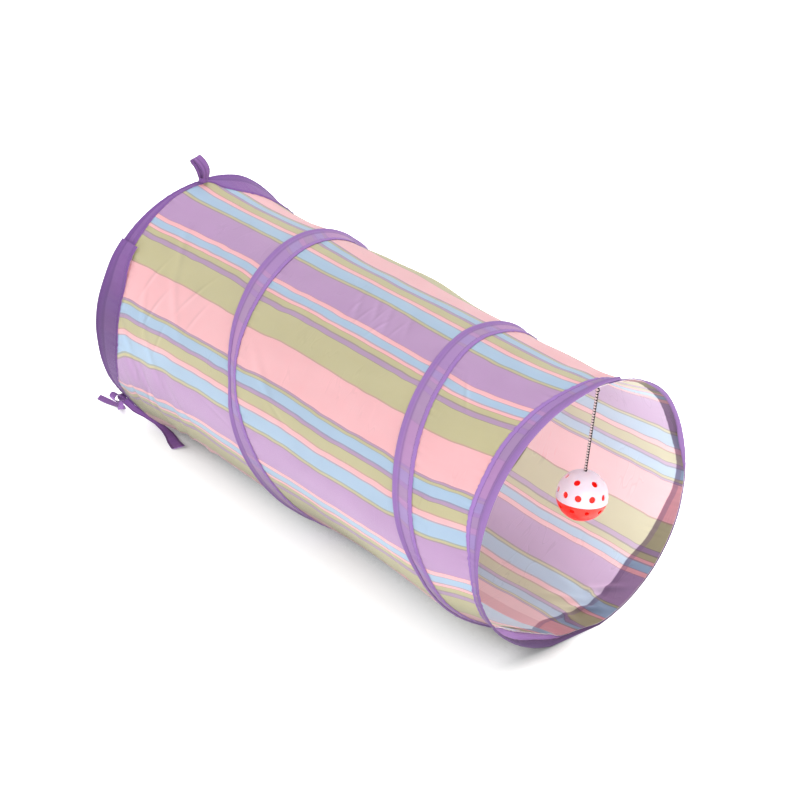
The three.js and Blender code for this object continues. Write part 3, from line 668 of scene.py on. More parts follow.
class Term:
    """A number's socket in a material, for sums that are written as Python expressions."""

    def __init__(self, paint: Paint, socket: Socket) -> None:
        """Keeps the socket and the material that it is in."""
        self.paint = paint
        self.socket = socket

    def _sum(self, operation: str, first: Any, second: Any = None) -> Term:
        """Adds one Math node for an operation on one or two numbers."""
        inputs = {0: first} if second is None else {0: first, 1: second}
        return self.paint.term("ShaderNodeMath", {"operation": operation}, inputs, "Value")

    def __add__(self, other: Any) -> Term:
        """Adds."""
        return self._sum("ADD", self, other)

    __radd__ = __add__

    def __sub__(self, other: Any) -> Term:
        """Takes away."""
        return self._sum("SUBTRACT", self, other)

    def __rsub__(self, other: Any) -> Term:
        """Takes this away from another."""
        return self._sum("SUBTRACT", other, self)

    def __mul__(self, other: Any) -> Term:
        """Multiplies."""
        return self._sum("MULTIPLY", self, other)

    __rmul__ = __mul__

    def fraction(self) -> Term:
        """Keeps the part after the point."""
        return self._sum("FRACT", self)

    def sine(self) -> Term:
        """Takes the sine."""
        return self._sum("SINE", self)

    def power(self) -> Term:
        """Takes e to this power."""
        return self._sum("EXPONENT", self)

    def over(self, limit: float) -> Term:
        """Gives 1 above the limit and 0 below."""
        return self._sum("GREATER_THAN", self, limit)

    def rise(self, low: float, high: float) -> Term:
        """Rises smoothly from 0 at low to 1 at high."""
        inputs = {"Value": self, "From Min": low, "From Max": high}
        return self.paint.term("ShaderNodeMapRange", {"interpolation_type": "SMOOTHSTEP"}, inputs, "Result")

    def between(self, span: Span) -> Term:
        """Rises smoothly from 0 to 1 between two places in millimetres."""
        return self.rise(span[0] * MM, span[1] * MM)

    def band(self, low: float, high: float, soft: float) -> Term:
        """Gives 1 between two limits and 0 outside them."""
        return self.rise(low - soft, low + soft) - self.rise(high - soft, high + soft)


class NodeMaker:
    """The one way in which nodes are made, for materials and for Geometry Nodes."""

    def __init__(self, tree: bpy.types.NodeTree) -> None:
        """Keeps the tree that the nodes go into."""
        self.tree = tree

    def node(
        self, kind: str, settings: dict[str, Any] | None = None, inputs: dict[Any, Any] | None = None
    ) -> bpy.types.Node:
        """Adds a node.

        Args:
            kind: the node's type.
            settings: its settings, or a ramp's stops under "stops".
            inputs: values or links for its sockets, by name or place.

        Returns:
            The node.
        """
        made = self.tree.nodes.new(kind)
        for key, value in (settings or {}).items():
            if key == "stops":
                self._stops(made.color_ramp, value)
            else:
                setattr(made, key, value)
        for key, value in (inputs or {}).items():
            socket = made.inputs[key]
            value = value.socket if isinstance(value, Term) else value
            if isinstance(value, Socket):
                self.tree.links.new(value, socket)
            else:
                socket.default_value = value
        return made

    @staticmethod
    def _stops(ramp: bpy.types.ColorRamp, stops: Sequence[tuple[float, Sequence[float]]]) -> None:
        """Sets a ramp's hard-edged stops."""
        ramp.interpolation = "CONSTANT"
        while len(ramp.elements) > 1:
            ramp.elements.remove(ramp.elements[-1])
        for index, (place, colour) in enumerate(stops):
            element = ramp.elements[0] if index == 0 else ramp.elements.new(place)
            element.position = place
            element.color = (*colour, 1.0)


class Paint(NodeMaker):
    """A material and the patterns that it is made of."""

    def __init__(self, name: str) -> None:
        """Starts an empty node material."""
        self.material = bpy.data.materials.new(name)
        self.material.use_nodes = True
        super().__init__(self.material.node_tree)
        self.tree.nodes.clear()

    def term(self, kind: str, settings: dict[str, Any] | None, inputs: dict[Any, Any], output: str) -> Term:
        """Adds a node and gives one of its outputs."""
        return Term(self, self.node(kind, settings, inputs).outputs[output])

    def blend(self, factor: Any, first: Any, second: Any, how: str = "MIX") -> Socket:
        """Mixes two colours and gives the result's socket."""
        settings = {"data_type": "RGBA", "blend_type": how}
        first = (*first, 1.0) if isinstance(first, tuple) else first
        second = (*second, 1.0) if isinstance(second, tuple) else second
        made = self.node("ShaderNodeMix", settings, {0: factor, 6: first, 7: second})
        return made.outputs[2]

    def own_place(self) -> Socket:
        """Reads the place in the object's own coordinates."""
        return self.node("ShaderNodeTexCoord").outputs["Object"]

    def split(self, vector: Socket) -> tuple[Term, Term, Term]:
        """Splits a vector into its three numbers."""
        parts = self.node("ShaderNodeSeparateXYZ", None, {0: vector})
        return tuple(Term(self, parts.outputs[axis]) for axis in "XYZ")

    def noise(self, scale: float, detail: float = 2.0, vector: Socket | None = None) -> Term:
        """Adds an even noise on the object's own coordinates, or on others."""
        vector = self.own_place() if vector is None else vector
        inputs = {"Vector": vector, "Scale": scale, "Detail": detail}
        return self.term("ShaderNodeTexNoise", None, inputs, "Fac")

    def stretched(self, vector: Socket, scale: Triple, turn: float = 0.0) -> Socket:
        """Turns a vector by some degrees in its plane and stretches it."""
        inputs = {"Vector": vector, "Rotation": (0.0, 0.0, math.radians(turn)), "Scale": scale}
        return self.node("ShaderNodeMapping", None, inputs).outputs[0]

    def map(self, name: str) -> tuple[Term, Term, Socket]:
        """Reads one of the piece's own maps, as two numbers and as a vector."""
        vector = self.node("ShaderNodeUVMap", {"uv_map": name}).outputs["UV"]
        first, second, _ = self.split(vector)
        return first, second, vector

    def grey(self, value: Term) -> Socket:
        """Turns a number into a grey."""
        return self.node("ShaderNodeCombineColor", None, {0: value, 1: value, 2: value}).outputs[0]

    def stripes(self, pale: float, edge: float) -> Socket:
        """Draws the woven stripes with a fine darker line between them.

        Args:
            pale: how far the colours go towards white.
            edge: how dark the fine lines are.

        Returns:
            The colour's socket.
        """
        across, _, _ = self.map(STRIPE_MAP)
        total = sum(width for _, width in STRIPES)
        line = STRIPE_LINE / total
        stops, start = [], 0.0
        for index, (dye, width) in enumerate(STRIPES):
            beside = STRIPES[index - 1][0].value
            own = tuple(c + (1 - c) * pale for c in dye.value)
            mixed = tuple(edge * (a + (1 - a) * pale + b) / 2 for a, b in zip(beside, own))
            stops += [(start / total, mixed), (start / total + line, own)]
            start += width
        ramp = self.node("ShaderNodeValToRGB", {"stops": stops}, {"Fac": across.fraction()})
        return ramp.outputs["Color"]

    def bump(self, height: Term, strength: float, distance: float) -> Socket:
        """Turns heights into a bent normal."""
        inputs = {"Height": height, "Strength": strength, "Distance": distance}
        return self.node("ShaderNodeBump", None, inputs).outputs[0]

    def finish(self, inputs: dict[str, Any]) -> Material:
        """Joins a surface with these inputs to the output and gives the material."""
        surface = self.node("ShaderNodeBsdfPrincipled", None, inputs).outputs[0]
        self.node("ShaderNodeOutputMaterial", None, {"Surface": surface})
        return self.material


@dataclass(frozen=True)
class ClothFinish:
    """Thin woven cloth that lets light through. Each kind of cloth adds its own colour."""

    name: str
    through: float
    depth: float = 2.0
    roughness: float = 0.72
    sheen: float = 0.12
    weave_pitch: float = 0.6
    weave_depth: float = 0.05
    wrinkle_depth: float = 0.6
    wrinkle_scale: float = 70.0
    wrinkle_stretch: Triple = (1.0, 0.4, 1.0)
    bump_strength: float = 0.35
    bump_distance: float = 4.0
    mottle: float = 0.05
    mottle_scale: float = 26.0
    # Painted shade and highlight of fine creases: how strong, and the noise that draws their lines.
    crease_shading: float = 0.0
    crease_turn: float = 62.0
    crease_stretch: Triple = (22.0, 105.0, 1.0)
    crease_dark: Triple = (0.487, 0.5, 0.012)
    crease_light: Triple = (0.512, 0.53, 0.014)
    patch_scale: float = 17.0
    patch_edge: Span = (0.5, 0.62)
    # Painted shade and light of the folds, from their slope towards the light.
    relief: float = 0.0
    # Painted light: how strongly the cloth glows.
    glow: float = 0.0
    # Creases whose painted shade and highlight are drawn in the colour.
    fine: tuple[Crease, ...] = ()
    sheen_roughness: float = 0.5
    shine: float = 0.25

    def lit(self, paint: Paint, colour: Any) -> Any:
        """Gives the colour of the painted light that the cloth glows with, standing in for light that comes
        through.
        """
        return colour

    def colour(self, paint: Paint) -> Any:
        """Gives the cloth's colour, before its unevenness."""
        raise NotImplementedError

    def _crease(self, paint: Paint, cloth: Socket) -> Term:
        """Gives the painted shade of fine creases: a painted dark line with a painted highlight beside it, in
        patches.
        """
        lines = paint.noise(1.0, 1.0, paint.stretched(cloth, self.crease_stretch, self.crease_turn))
        patches = paint.noise(self.patch_scale, 1.0, cloth).rise(*self.patch_edge)
        dark = lines.band(*self.crease_dark)
        light = lines.band(*self.crease_light)
        return 1 + (light * 0.5 - dark) * patches * self.crease_shading

    def make(self) -> Material:
        """Builds the material."""
        paint = Paint(self.name)
        colour = self.colour(paint)
        around, along, cloth = paint.map(CLOTH_MAP)
        shade = 1 - self.mottle + paint.noise(self.mottle_scale, 3) * (2 * self.mottle)
        # Painted shade and highlight of fine creases.
        if self.crease_shading > 0:
            shade = shade * self._crease(paint, cloth)
        # Painted shade and light: darker where the folds face away from the light, lighter where they face
        # it.
        if self.relief > 0:
            slope, _, _ = paint.map(FOLD_SHADING_MAP)
            shade = shade * (1 + slope * self.relief)
        # Painted shade and highlight of the creases that are too fine for the mesh.
        for crease in self.fine:
            shade = shade + crease.drawn(around, along, TUBE_RADIUS)
        colour = paint.blend(1.0, colour, paint.grey(shade), "MULTIPLY")
        turn = 2 * math.pi / (self.weave_pitch * MM)
        weave = (around * turn).sine() * (along * turn).sine()
        wrinkles = paint.noise(self.wrinkle_scale, 4, paint.stretched(cloth, self.wrinkle_stretch))
        height = weave * self.weave_depth + wrinkles * self.wrinkle_depth
        return paint.finish(
            {
                "Base Color": colour,
                "Roughness": self.roughness,
                "Subsurface Weight": self.through,
                "Subsurface Radius": (1.0, 1.0, 1.0),
                "Subsurface Scale": self.depth * MM,
                "Sheen Weight": self.sheen,
                "Sheen Roughness": self.sheen_roughness,
                "Specular IOR Level": self.shine,
                # Painted light: the cloth glows, standing in for light that comes through it.
                "Emission Color": self.lit(paint, colour),
                "Emission Strength": self.glow,
                "Normal": paint.bump(height, self.bump_strength, self.bump_distance * MM),
            }
        )


@dataclass(frozen=True)
class StripedFinish(ClothFinish):
    """The striped cloth, with painted shade low on both sides. Its inner face has painted shade where a strip
    outside stops the light.
    """

    pale: float = 0.0
    edge: float = 0.76
    # Painted shade low on the cloth: how dark, and the spans over which it fades out on the near and far
    # sides.
    painted_low_shade: float = 0.0
    low_near: Span = (-114.0, -14.0)
    low_far: Span = (430.0, 510.0)
    # Painted shade on the inner face, under the strips, behind the mouth strip and along the doubled seam.
    strip_shade: float = 0.0
    strip_edge: Span = (-0.6, 0.6)
    strip_tint: Triple = (0.68, 0.66, 0.75)
    mouth: Span = (20.0, 28.0)
    far_above: Span = (195.0, 215.0)
    far_below: Span = (340.0, 400.0)
    hem: Span = (-4.6, 0.0)
    hem_below: Span = (290.0, 340.0)
    hem_shadow_colour: Triple = (0.2, 0.11, 0.24)
    seam: Span = (581.0, 594.0)
    line_edge: float = 0.4
    lit_pale: float = 0.5
    floor: Span = (440.0, 545.0)
    floor_stop: float = 0.7
    strip_stop: float = 0.96
    seam_stop: float = 0.5
    seam_shade: float = 0.3
    stripes_kept: float = 0.3
    mouth_shade: float = 0.5
    hem_shade: float = 0.5

    def colour(self, paint: Paint) -> Any:
        """Gives the stripes."""
        colour = paint.stripes(self.pale, self.edge)
        # Painted shade: the cloth darkens low on both sides, towards the floor.
        if self.painted_low_shade > 0:
            around, _, _ = paint.map(CLOTH_MAP)
            low = 1 - around.between(self.low_near) + around.between(self.low_far)
            colour = paint.blend(low * self.painted_low_shade, colour, BLACK)
        if self.strip_shade == 0:
            return colour
        # Painted shade on the inner face under the strips and along the doubled seam.
        deep = self._deep(paint)
        colour = paint.blend(self._under(paint) * self.strip_shade, colour, deep)
        return paint.blend(self._doubled(paint) * self.seam_shade, colour, deep)

    def _deep(self, paint: Paint) -> Any:
        """Gives the painted shade of the stripes where no light comes through, darkest behind the mouth
        strip's far side and along its hem.
        """
        stripes = paint.stripes(0.0, self.edge)
        tint = paint.blend(self.stripes_kept, self.strip_tint, stripes)
        deep = paint.blend(1.0, stripes, tint, "MULTIPLY")
        around, along, _ = paint.map(CLOTH_MAP)
        _, covered, _ = paint.map(STRIPE_MAP)
        mouth = 1 - along.between(self.mouth)
        far = around.between(self.far_above) * (1 - around.between(self.far_below))
        deep = paint.blend(mouth * far * self.mouth_shade, deep, BLACK)
        # Painted shadow of the mouth strip's hem on the inner face.
        hem = self._line(covered, self.hem) * mouth * around.between(self.hem_below)
        return paint.blend(hem * self.hem_shade, deep, self.hem_shadow_colour)

    def _line(self, place: Term, span: Span) -> Term:
        """Gives 1 between two places in millimetres."""
        return place.band(span[0] * MM, span[1] * MM, self.line_edge * MM)

    def _under(self, paint: Paint) -> Term:
        """Gives 1 where a strip lies outside."""
        _, covered, _ = paint.map(STRIPE_MAP)
        return 1 - covered.between(self.strip_edge)

    def _doubled(self, paint: Paint) -> Term:
        """Gives 1 along the seam, where the cloth is doubled."""
        around, _, _ = paint.map(CLOTH_MAP)
        return self._line(around, self.seam)

    def lit(self, paint: Paint, colour: Any) -> Any:
        """Gives the painted light that the inner face glows with, standing in for light through the cloth,
        which strips, doubled cloth and the floor stop.
        """
        if self.strip_shade == 0:
            return colour
        around, _, _ = paint.map(CLOTH_MAP)
        floor = around.between(self.floor) * self.floor_stop
        open_cloth = (1 - self._under(paint) * self.strip_stop) * (1 - self._doubled(paint) * self.seam_stop)
        open_cloth = open_cloth * (1 - floor)
        return paint.blend(open_cloth, BLACK, paint.stripes(self.lit_pale, self.edge))


@dataclass(frozen=True)
class StripFinish(ClothFinish):
    """A purple strip: a doubled hem, a row of stitches, a single layer and the wire's casing."""

    single: Triple = (1.0, 1.0, 1.0)
    hem: Triple = (1.0, 1.0, 1.0)
    casing: Triple = (1.0, 1.0, 1.0)
    line: Triple = (0.0, 0.0, 0.0)
    filter: Triple = (1.0, 1.0, 1.0)
    see_through: float = 0.4
    # Painted shade towards the floor: how dark, and the heights in millimetres over which it fades out.
    painted_low_shade: float = 0.56
    shaded: Span = (8.0, 160.0)
    hem_end: Span = (0.14, 0.26)
    casing_start: Span = (0.56, 0.8)
    stitch_line: Triple = (0.185, 0.215, 0.02)
    # Painted shade: a soft dark line beside the wire, at these shares of the strip's width.
    wire_shade_line: Triple = (0.64, 0.69, 0.04)
    line_scale: float = 260.0
    stripe_edge: float = 0.8
    stitch_dark: float = 0.6
    wire_shade_dark: float = 0.4

    def colour(self, paint: Paint) -> Any:
        """Gives the zones across the strip, with a painted shade line beside the wire and painted shade
        towards the floor.
        """
        _, tone, place = paint.map(STRIP_MAP)
        below = paint.blend(1.0, paint.stripes(0.0, self.stripe_edge), self.filter, "MULTIPLY")
        colour = paint.blend(self.see_through, self.single, below)
        colour = paint.blend(1 - tone.rise(*self.hem_end), colour, self.hem)
        colour = paint.blend(tone.rise(*self.casing_start), colour, self.casing)
        uneven = paint.noise(self.line_scale, 2, place)
        colour = paint.blend(tone.band(*self.stitch_line) * uneven * self.stitch_dark, colour, self.line)
        # Painted shade line beside the wire.
        colour = paint.blend(tone.band(*self.wire_shade_line) * self.wire_shade_dark, colour, self.line)
        # Painted shade: the strip darkens towards the floor.
        _, _, height = paint.split(paint.own_place())
        return paint.blend((1 - height.between(self.shaded)) * self.painted_low_shade, colour, BLACK)


@dataclass(frozen=True)
class RibbonFinish(ClothFinish):
    """Folded purple ribbon, a little darker along its edges."""

    plain: Triple = (1.0, 1.0, 1.0)
    half_width: float = 4.5
    edge_dark: float = 0.62
    inner: Triple = (-0.82, 0.82, 0.5)
    fold: Triple = (-0.36, -0.06, 0.7)
    folded: float = 0.0

    def _zone(self, across: Term, zone: Triple) -> Term:
        """Gives 1 between two shares of the half width, with a soft edge in millimetres."""
        return across.band(self.half_width * zone[0] * MM, self.half_width * zone[1] * MM, zone[2] * MM)

    def colour(self, paint: Paint) -> Any:
        """Gives the ribbon's colour."""
        across, _, _ = paint.map(CLOTH_MAP)
        dark = tuple(c * self.edge_dark for c in self.plain)
        inner = self._zone(across, self.inner)
        fold = self._zone(across, self.fold)
        return paint.blend(inner * (1 - fold * self.folded), dark, self.plain)


@dataclass(frozen=True)
class ShellFinish:
    """Smooth moulded plastic with faint moulding marks."""

    name: str
    colour: Triple
    deep: Triple
    roughness: float = 0.32
    uneven: float = 0.05
    cloud_scale: float = 55.0
    mark_scale: float = 700.0
    mark_strength: float = 0.05
    mark_height: float = 0.5
    spread: Triple = (1.0, 0.6, 0.5)
    through: float = 0.0
    depth: float = 1.5
    # Painted light: how strongly the plastic glows in its own colour.
    glow: float = 0.0

    def make(self) -> Material:
        """Builds the material."""
        paint = Paint(self.name)
        cloudy = paint.noise(self.cloud_scale)
        colour = paint.blend(cloudy, self.deep, self.colour)
        marks = paint.noise(self.mark_scale)
        return paint.finish(
            {
                "Base Color": colour,
                "Roughness": cloudy * (2 * self.uneven) + (self.roughness - self.uneven),
                "Subsurface Weight": self.through,
                "Subsurface Radius": self.spread,
                "Subsurface Scale": self.depth * MM,
                # Painted light: the plastic glows, which flattens and brightens its shading.
                "Emission Color": colour,
                "Emission Strength": self.glow,
                "Normal": paint.bump(marks, self.mark_strength, self.mark_height * MM),
            }
        )


@dataclass(frozen=True)
class BraidFinish:
    """Braided elastic in dark and pale yarn."""

    name: str
    dark: Triple
    pale: Triple
    strands: int = 1
    turn_length: float = 2.7
    pale_over: float = 0.08
    roughness: float = 0.85
    sheen: float = 0.1
    yarn_strength: float = 0.5
    yarn_height: float = 0.3

    def make(self) -> Material:
        """Builds the material on a map of the way round and the way along."""
        paint = Paint(self.name)
        around, along, _ = paint.map(CLOTH_MAP)
        climb = along * (1 / (self.turn_length * MM))
        left = ((around + climb) * (self.strands * math.pi)).sine()
        right = ((around - climb) * (self.strands * math.pi)).sine()
        yarn = left * right
        colour = paint.blend(yarn.over(self.pale_over), self.dark, self.pale)
        return paint.finish(
            {
                "Base Color": colour,
                "Roughness": self.roughness,
                "Sheen Weight": self.sheen,
                "Normal": paint.bump(yarn, self.yarn_strength, self.yarn_height * MM),
            }
        )


@dataclass(frozen=True)
class ThreadFinish:
    """Sewing thread."""

    name: str
    colour: Triple
    dark: float = 0.8
    twist_scale: float = 2200.0
    roughness: float = 0.6

    def make(self) -> Material:
        """Builds the material."""
        paint = Paint(self.name)
        twist = paint.noise(self.twist_scale, 1)
        colour = paint.blend(twist, tuple(c * self.dark for c in self.colour), self.colour)
        return paint.finish({"Base Color": colour, "Roughness": self.roughness})


def put(name: str, data: bpy.types.ID) -> Piece:
    """Puts a mesh, a lamp or a camera in the scene."""
    made = bpy.data.objects.new(name, data)
    bpy.context.scene.collection.objects.link(made)
    return made


class Mesher:
    """Turns grids of points into pieces that sit at the origin."""

    @staticmethod
    def _turn_out(points: np.ndarray, faces: list[np.ndarray]) -> bool:
        """Tells whether the faces point inwards."""
        volume = 0.0
        for quads in faces:
            a, b, c, d = (points[quads[:, k]] for k in range(4))
            volume += np.einsum("ij,ij->", a, np.cross(b, c)) + np.einsum("ij,ij->", a, np.cross(c, d))
        return volume < 0

    @classmethod
    def shell(
        cls,
        name: str,
        outer: np.ndarray,
        inner: np.ndarray,
        maps: dict[str, np.ndarray],
        materials: Sequence[Material],
        closed: bool,
    ) -> Piece:
        """Makes a closed thin solid between two grids.

        Args:
            name: the piece's name.
            outer: points of the outer face, in rows.
            inner: points of the inner face.
            maps: a grid of map values for each map, with one row more than the points where it is closed.
            materials: the outer face's material, then the inner face's and the rims' where they differ.
            closed: whether the last row joins the first.

        Returns:
            The piece.
        """
        rows, columns = outer.shape[:2]
        lines = rows + 1 if closed else rows
        r, c = np.meshgrid(np.arange(lines - 1), np.arange(columns - 1), indexing="ij")
        r, c = r.ravel(), c.ravel()
        last = columns - 1
        k = np.arange(lines - 1)
        zero, end = np.zeros_like(k), np.full_like(k, last)
        parts = [
            (np.stack([r, r + 1, r + 1, r], 1), np.stack([c, c, c + 1, c + 1], 1), (0, 0, 0, 0), 0),
            (np.stack([r, r, r + 1, r + 1], 1), np.stack([c, c + 1, c + 1, c], 1), (1, 1, 1, 1), 1),
            (np.stack([k, k, k + 1, k + 1], 1), np.stack([zero] * 4, 1), (0, 1, 1, 0), 2),
            (np.stack([k, k + 1, k + 1, k], 1), np.stack([end] * 4, 1), (0, 0, 1, 1), 2),
        ]
        if not closed:
            j = np.arange(columns - 1)
            first, final = np.zeros_like(j), np.full_like(j, rows - 1)
            parts.append((np.stack([first] * 4, 1), np.stack([j, j + 1, j + 1, j], 1), (0, 0, 1, 1), 0))
            parts.append((np.stack([final] * 4, 1), np.stack([j, j, j + 1, j + 1], 1), (0, 1, 1, 0), 0))
        points = np.concatenate([outer.reshape(-1, 3), inner.reshape(-1, 3)])
        faces, places, slots = [], [], []
        for row, column, side, slot in parts:
            faces.append(np.array(side) * rows * columns + (row % rows) * columns + column)
            places.append(np.stack([row, column], -1))
            slots.append(np.full(len(row), min(slot, len(materials) - 1)))
        if cls._turn_out(points, faces):
            faces = [quads[:, ::-1] for quads in faces]
            places = [place[:, ::-1] for place in places]
        mesh = bpy.data.meshes.new(name)
        mesh.from_pydata(points, [], np.concatenate(faces))
        corner = np.concatenate(places).reshape(-1, 2)
        for key, grid in maps.items():
            layer = mesh.uv_layers.new(name=key)
            layer.data.foreach_set("uv", grid[corner[:, 0], corner[:, 1]].astype(np.float32).ravel())
        mesh.polygons.foreach_set("material_index", np.concatenate(slots).astype(np.int32))
        return cls.piece(name, mesh, materials)

    @staticmethod
    def piece(name: str, mesh: bpy.types.Mesh, materials: Sequence[Material], sharp: float = 42) -> Piece:
        """Puts a mesh in the scene, smooth but for edges over an angle."""
        for material in materials:
            mesh.materials.append(material)
        mesh.update()
        mesh.validate()
        mesh.shade_smooth()
        mesh.set_sharp_from_angle(angle=math.radians(sharp))
        return put(name, mesh)


class NodeTree(NodeMaker):
    """A Geometry Nodes tree with named inputs, and the way from its result to a plain mesh."""

    def __init__(self, name: str, sizes: dict[str, float]) -> None:
        """Starts a tree.

        Args:
            name: the tree's name.
            sizes: names and values of its inputs.
        """
        super().__init__(bpy.data.node_groups.new(name, "GeometryNodeTree"))
        self.tree.interface.new_socket("Geometry", in_out="INPUT", socket_type="NodeSocketGeometry")
        self.sizes = {}
        for key, value in sizes.items():
            socket = self.tree.interface.new_socket(key, in_out="INPUT", socket_type="NodeSocketFloat")
            self.sizes[socket.identifier] = value
        self.tree.interface.new_socket("Geometry", in_out="OUTPUT", socket_type="NodeSocketGeometry")
        self.start = self.tree.nodes.new("NodeGroupInput")
        self.end = self.tree.nodes.new("NodeGroupOutput")

    def size(self, name: str) -> Socket:
        """Gives one of the named inputs."""
        return self.start.outputs[name]

    def scattered(self, points: Socket, shape: Socket, aim: Socket, scale: Any = (1.0, 1.0, 1.0)) -> Socket:
        """Sets copies of a shape on points.

        Args:
            points: the points' geometry.
            shape: the shape's geometry.
            aim: the direction that the shape's upright axis turns to.
            scale: the copies' size.

        Returns:
            The copies' geometry, as real faces.
        """
        turn = self.node("FunctionNodeAlignRotationToVector", {"axis": "Z"}, {"Vector": aim})
        inputs = {"Points": points, "Instance": shape, "Rotation": turn.outputs[0], "Scale": scale}
        copies = self.node("GeometryNodeInstanceOnPoints", None, inputs)
        return self.node("GeometryNodeRealizeInstances", None, {0: copies.outputs[0]}).outputs[0]

    def result(self, source: Piece, geometry: Socket) -> bpy.types.Mesh:
        """Runs the tree on an object and gives the mesh, without leaving the modifier.

        Args:
            source: the object that the tree starts from.
            geometry: the socket that holds the result.

        Returns:
            The result as a mesh of its own.
        """
        self.tree.links.new(geometry, self.end.inputs[0])
        modifier = source.modifiers.new("shape", "NODES")
        modifier.node_group = self.tree
        for identifier, value in self.sizes.items():
            modifier[identifier] = value
        graph = bpy.context.evaluated_depsgraph_get()
        mesh = bpy.data.meshes.new_from_object(source.evaluated_get(graph), depsgraph=graph)
        source.modifiers.remove(modifier)
        return mesh


@dataclass(frozen=True)
class Stitching:
    """Rows of sewn stitches."""

    pitch: float = 2.8
    length: float = 2.1
    thickness: float = 0.42

    def sew(self, name: str, lines: Sequence[np.ndarray], material: Material) -> Piece:
        """Sews stitches along lines.

        Args:
            name: the piece's name.
            lines: points of each line, in metres.
            material: the thread.

        Returns:
            The piece.
        """
        points, edges = [], []
        for line in lines:
            first = len(points)
            points += [tuple(p) for p in line]
            edges += [(first + k, first + k + 1) for k in range(len(line) - 1)]
        path_mesh = bpy.data.meshes.new(name + "_path")
        path_mesh.from_pydata(points, edges, [])
        path = put(name + "_path", path_mesh)
        sizes = {"Pitch": self.pitch * MM, "Length": self.length * MM, "Thickness": self.thickness * MM}
        tree = NodeTree(name, sizes)
        curve = tree.node("GeometryNodeMeshToCurve", None, {"Mesh": tree.start.outputs[0]})
        spaced = tree.node(
            "GeometryNodeResampleCurve",
            {"mode": "LENGTH"},
            {"Curve": curve.outputs[0], "Length": tree.size("Pitch")},
        )
        tangent = tree.node("GeometryNodeInputTangent")
        bead = tree.node("GeometryNodeMeshIcoSphere", None, {"Radius": 0.5, "Subdivisions": 2})
        scale = tree.node(
            "ShaderNodeCombineXYZ",
            None,
            {"X": tree.size("Thickness"), "Y": tree.size("Thickness"), "Z": tree.size("Length")},
        )
        stitches = tree.scattered(spaced.outputs[0], bead.outputs[0], tangent.outputs[0], scale.outputs[0])
        mesh = tree.result(path, stitches)
        bpy.data.objects.remove(path)
        mesh.materials.clear()
        return Mesher.piece(name, mesh, [material])


@dataclass
class ClothTube:
    """The striped cloth."""

    form: TunnelForm
    layout: StripeLayout
    thickness: float = 0.7
    hem: float = 0.6
    around: int = 360
    along: int = 136

    def build(self, materials: Sequence[Material]) -> Piece:
        """Makes the cloth with its seam below.

        Args:
            materials: the outer face's, the inner face's and the cut edges' material.

        Returns:
            The piece.
        """
        angles = self.layout.seam + 360 * np.arange(self.around + 1) / self.around
        share = np.arange(self.along + 1) / self.along
        angle = angles[:, None] + 0 * share[None, :]
        front = self.form.cloth_front(angles)[:, None]
        rear = self.form.rear_rim(angles)[:, None] - self.hem
        setback = front + (rear - front) * share[None, :]
        outer = self.form.points(setback[:-1], angle[:-1], 0.0)
        lowest = self.form.floor_height + self.thickness
        inner = self.form.points(setback[:-1], angle[:-1], -self.thickness, lowest)
        covered = self.form.covered(setback, angle) * MM
        maps = {
            STRIPE_MAP: np.stack([self.layout.repeat(setback, angle), covered], axis=-1),
            CLOTH_MAP: cloth_map(self.form, setback, angle),
            # The folds' slope, for their painted shade in the cloth's colour.
            FOLD_SHADING_MAP: np.stack([self.form.slope(setback, angle), 0 * setback], axis=-1),
        }
        return Mesher.shell("tube_cloth", outer, inner, maps, materials, True)


def cloth_map(form: TunnelForm, setback: np.ndarray, angle: np.ndarray) -> np.ndarray:
    """Gives the map that the weave follows, in metres."""
    return np.stack([np.radians(angle) * form.radius * MM, setback * MM], axis=-1)


class Fold(NamedTuple):
    """One corner of a strip's cross-section, on the way from its sewn hem to its wire."""

    share: float
    ahead: float
    outer: float
    tone: float
    under: float = 0.3
    under_shift: float = 0.0


HEM_FOLDS = (
    Fold(0, 0, 0.5, 0.0),
    Fold(0, 0.9, 1.0, 0.045),
    Fold(0, 2.2, 1.15, 0.11),
    Fold(0, 3.4, 0.95, 0.17),
    Fold(0, 4.0, 0.55, 0.2),
    Fold(0, 4.7, 0.8, 0.24),
    Fold(0.45, 0, 1.0, 0.45),
    Fold(0.58, 0, 0.8, 0.58),
)
FLAT_FOLDS = HEM_FOLDS + (
    Fold(0.68, 0, 0.75, 0.66),
    Fold(1, -5.2, 1.5, 0.74),
    Fold(1, -3.6, 2.5, 0.82),
    Fold(1, -2.2, 2.6, 0.9),
    Fold(1, -1.0, 2.0, 0.96),
    Fold(1, 0, 0.5, 1.0),
)
RIM_FOLDS = HEM_FOLDS + (
    Fold(0.66, 0, 0.6, 0.66),
    Fold(1, -4.6, 1.2, 0.74),
    Fold(1, -3.4, 2.0, 0.82),
    Fold(1, -2.0, 2.2, 0.9),
    Fold(1, -0.6, 1.5, 0.96, 0.3, -0.2),
    Fold(1, 0.4, -0.3, 1.02, -0.1, -0.8),
    Fold(1, 0.0, -2.0, 1.1, -0.95, -0.7),
    Fold(1, -1.3, -3.4, 1.16, -1.1),
    Fold(1, -3.2, -3.2, 1.24, -1.1),
    Fold(1, -4.8, -1.3, 1.3, -0.95),
)


def resample(rows: np.ndarray, count: int) -> np.ndarray:
    """Runs smooth curves through rows of numbers and takes evenly counted rows from them."""
    places = np.linspace(0, len(rows) - 1, count)
    i = np.minimum(places.astype(int), len(rows) - 2)
    w = (places - i).reshape((-1,) + (1,) * (rows.ndim - 1))
    ends = np.concatenate([2 * rows[:1] - rows[1:2], rows, 2 * rows[-1:] - rows[-2:-1]])
    p0, p1, p2, p3 = (ends[i + k] for k in range(4))
    curved = (2 * p0 - 5 * p1 + 4 * p2 - p3) * w**2 + (3 * p1 - p0 - 3 * p2 + p3) * w**3
    return p1 + 0.5 * ((p2 - p0) * w + curved)


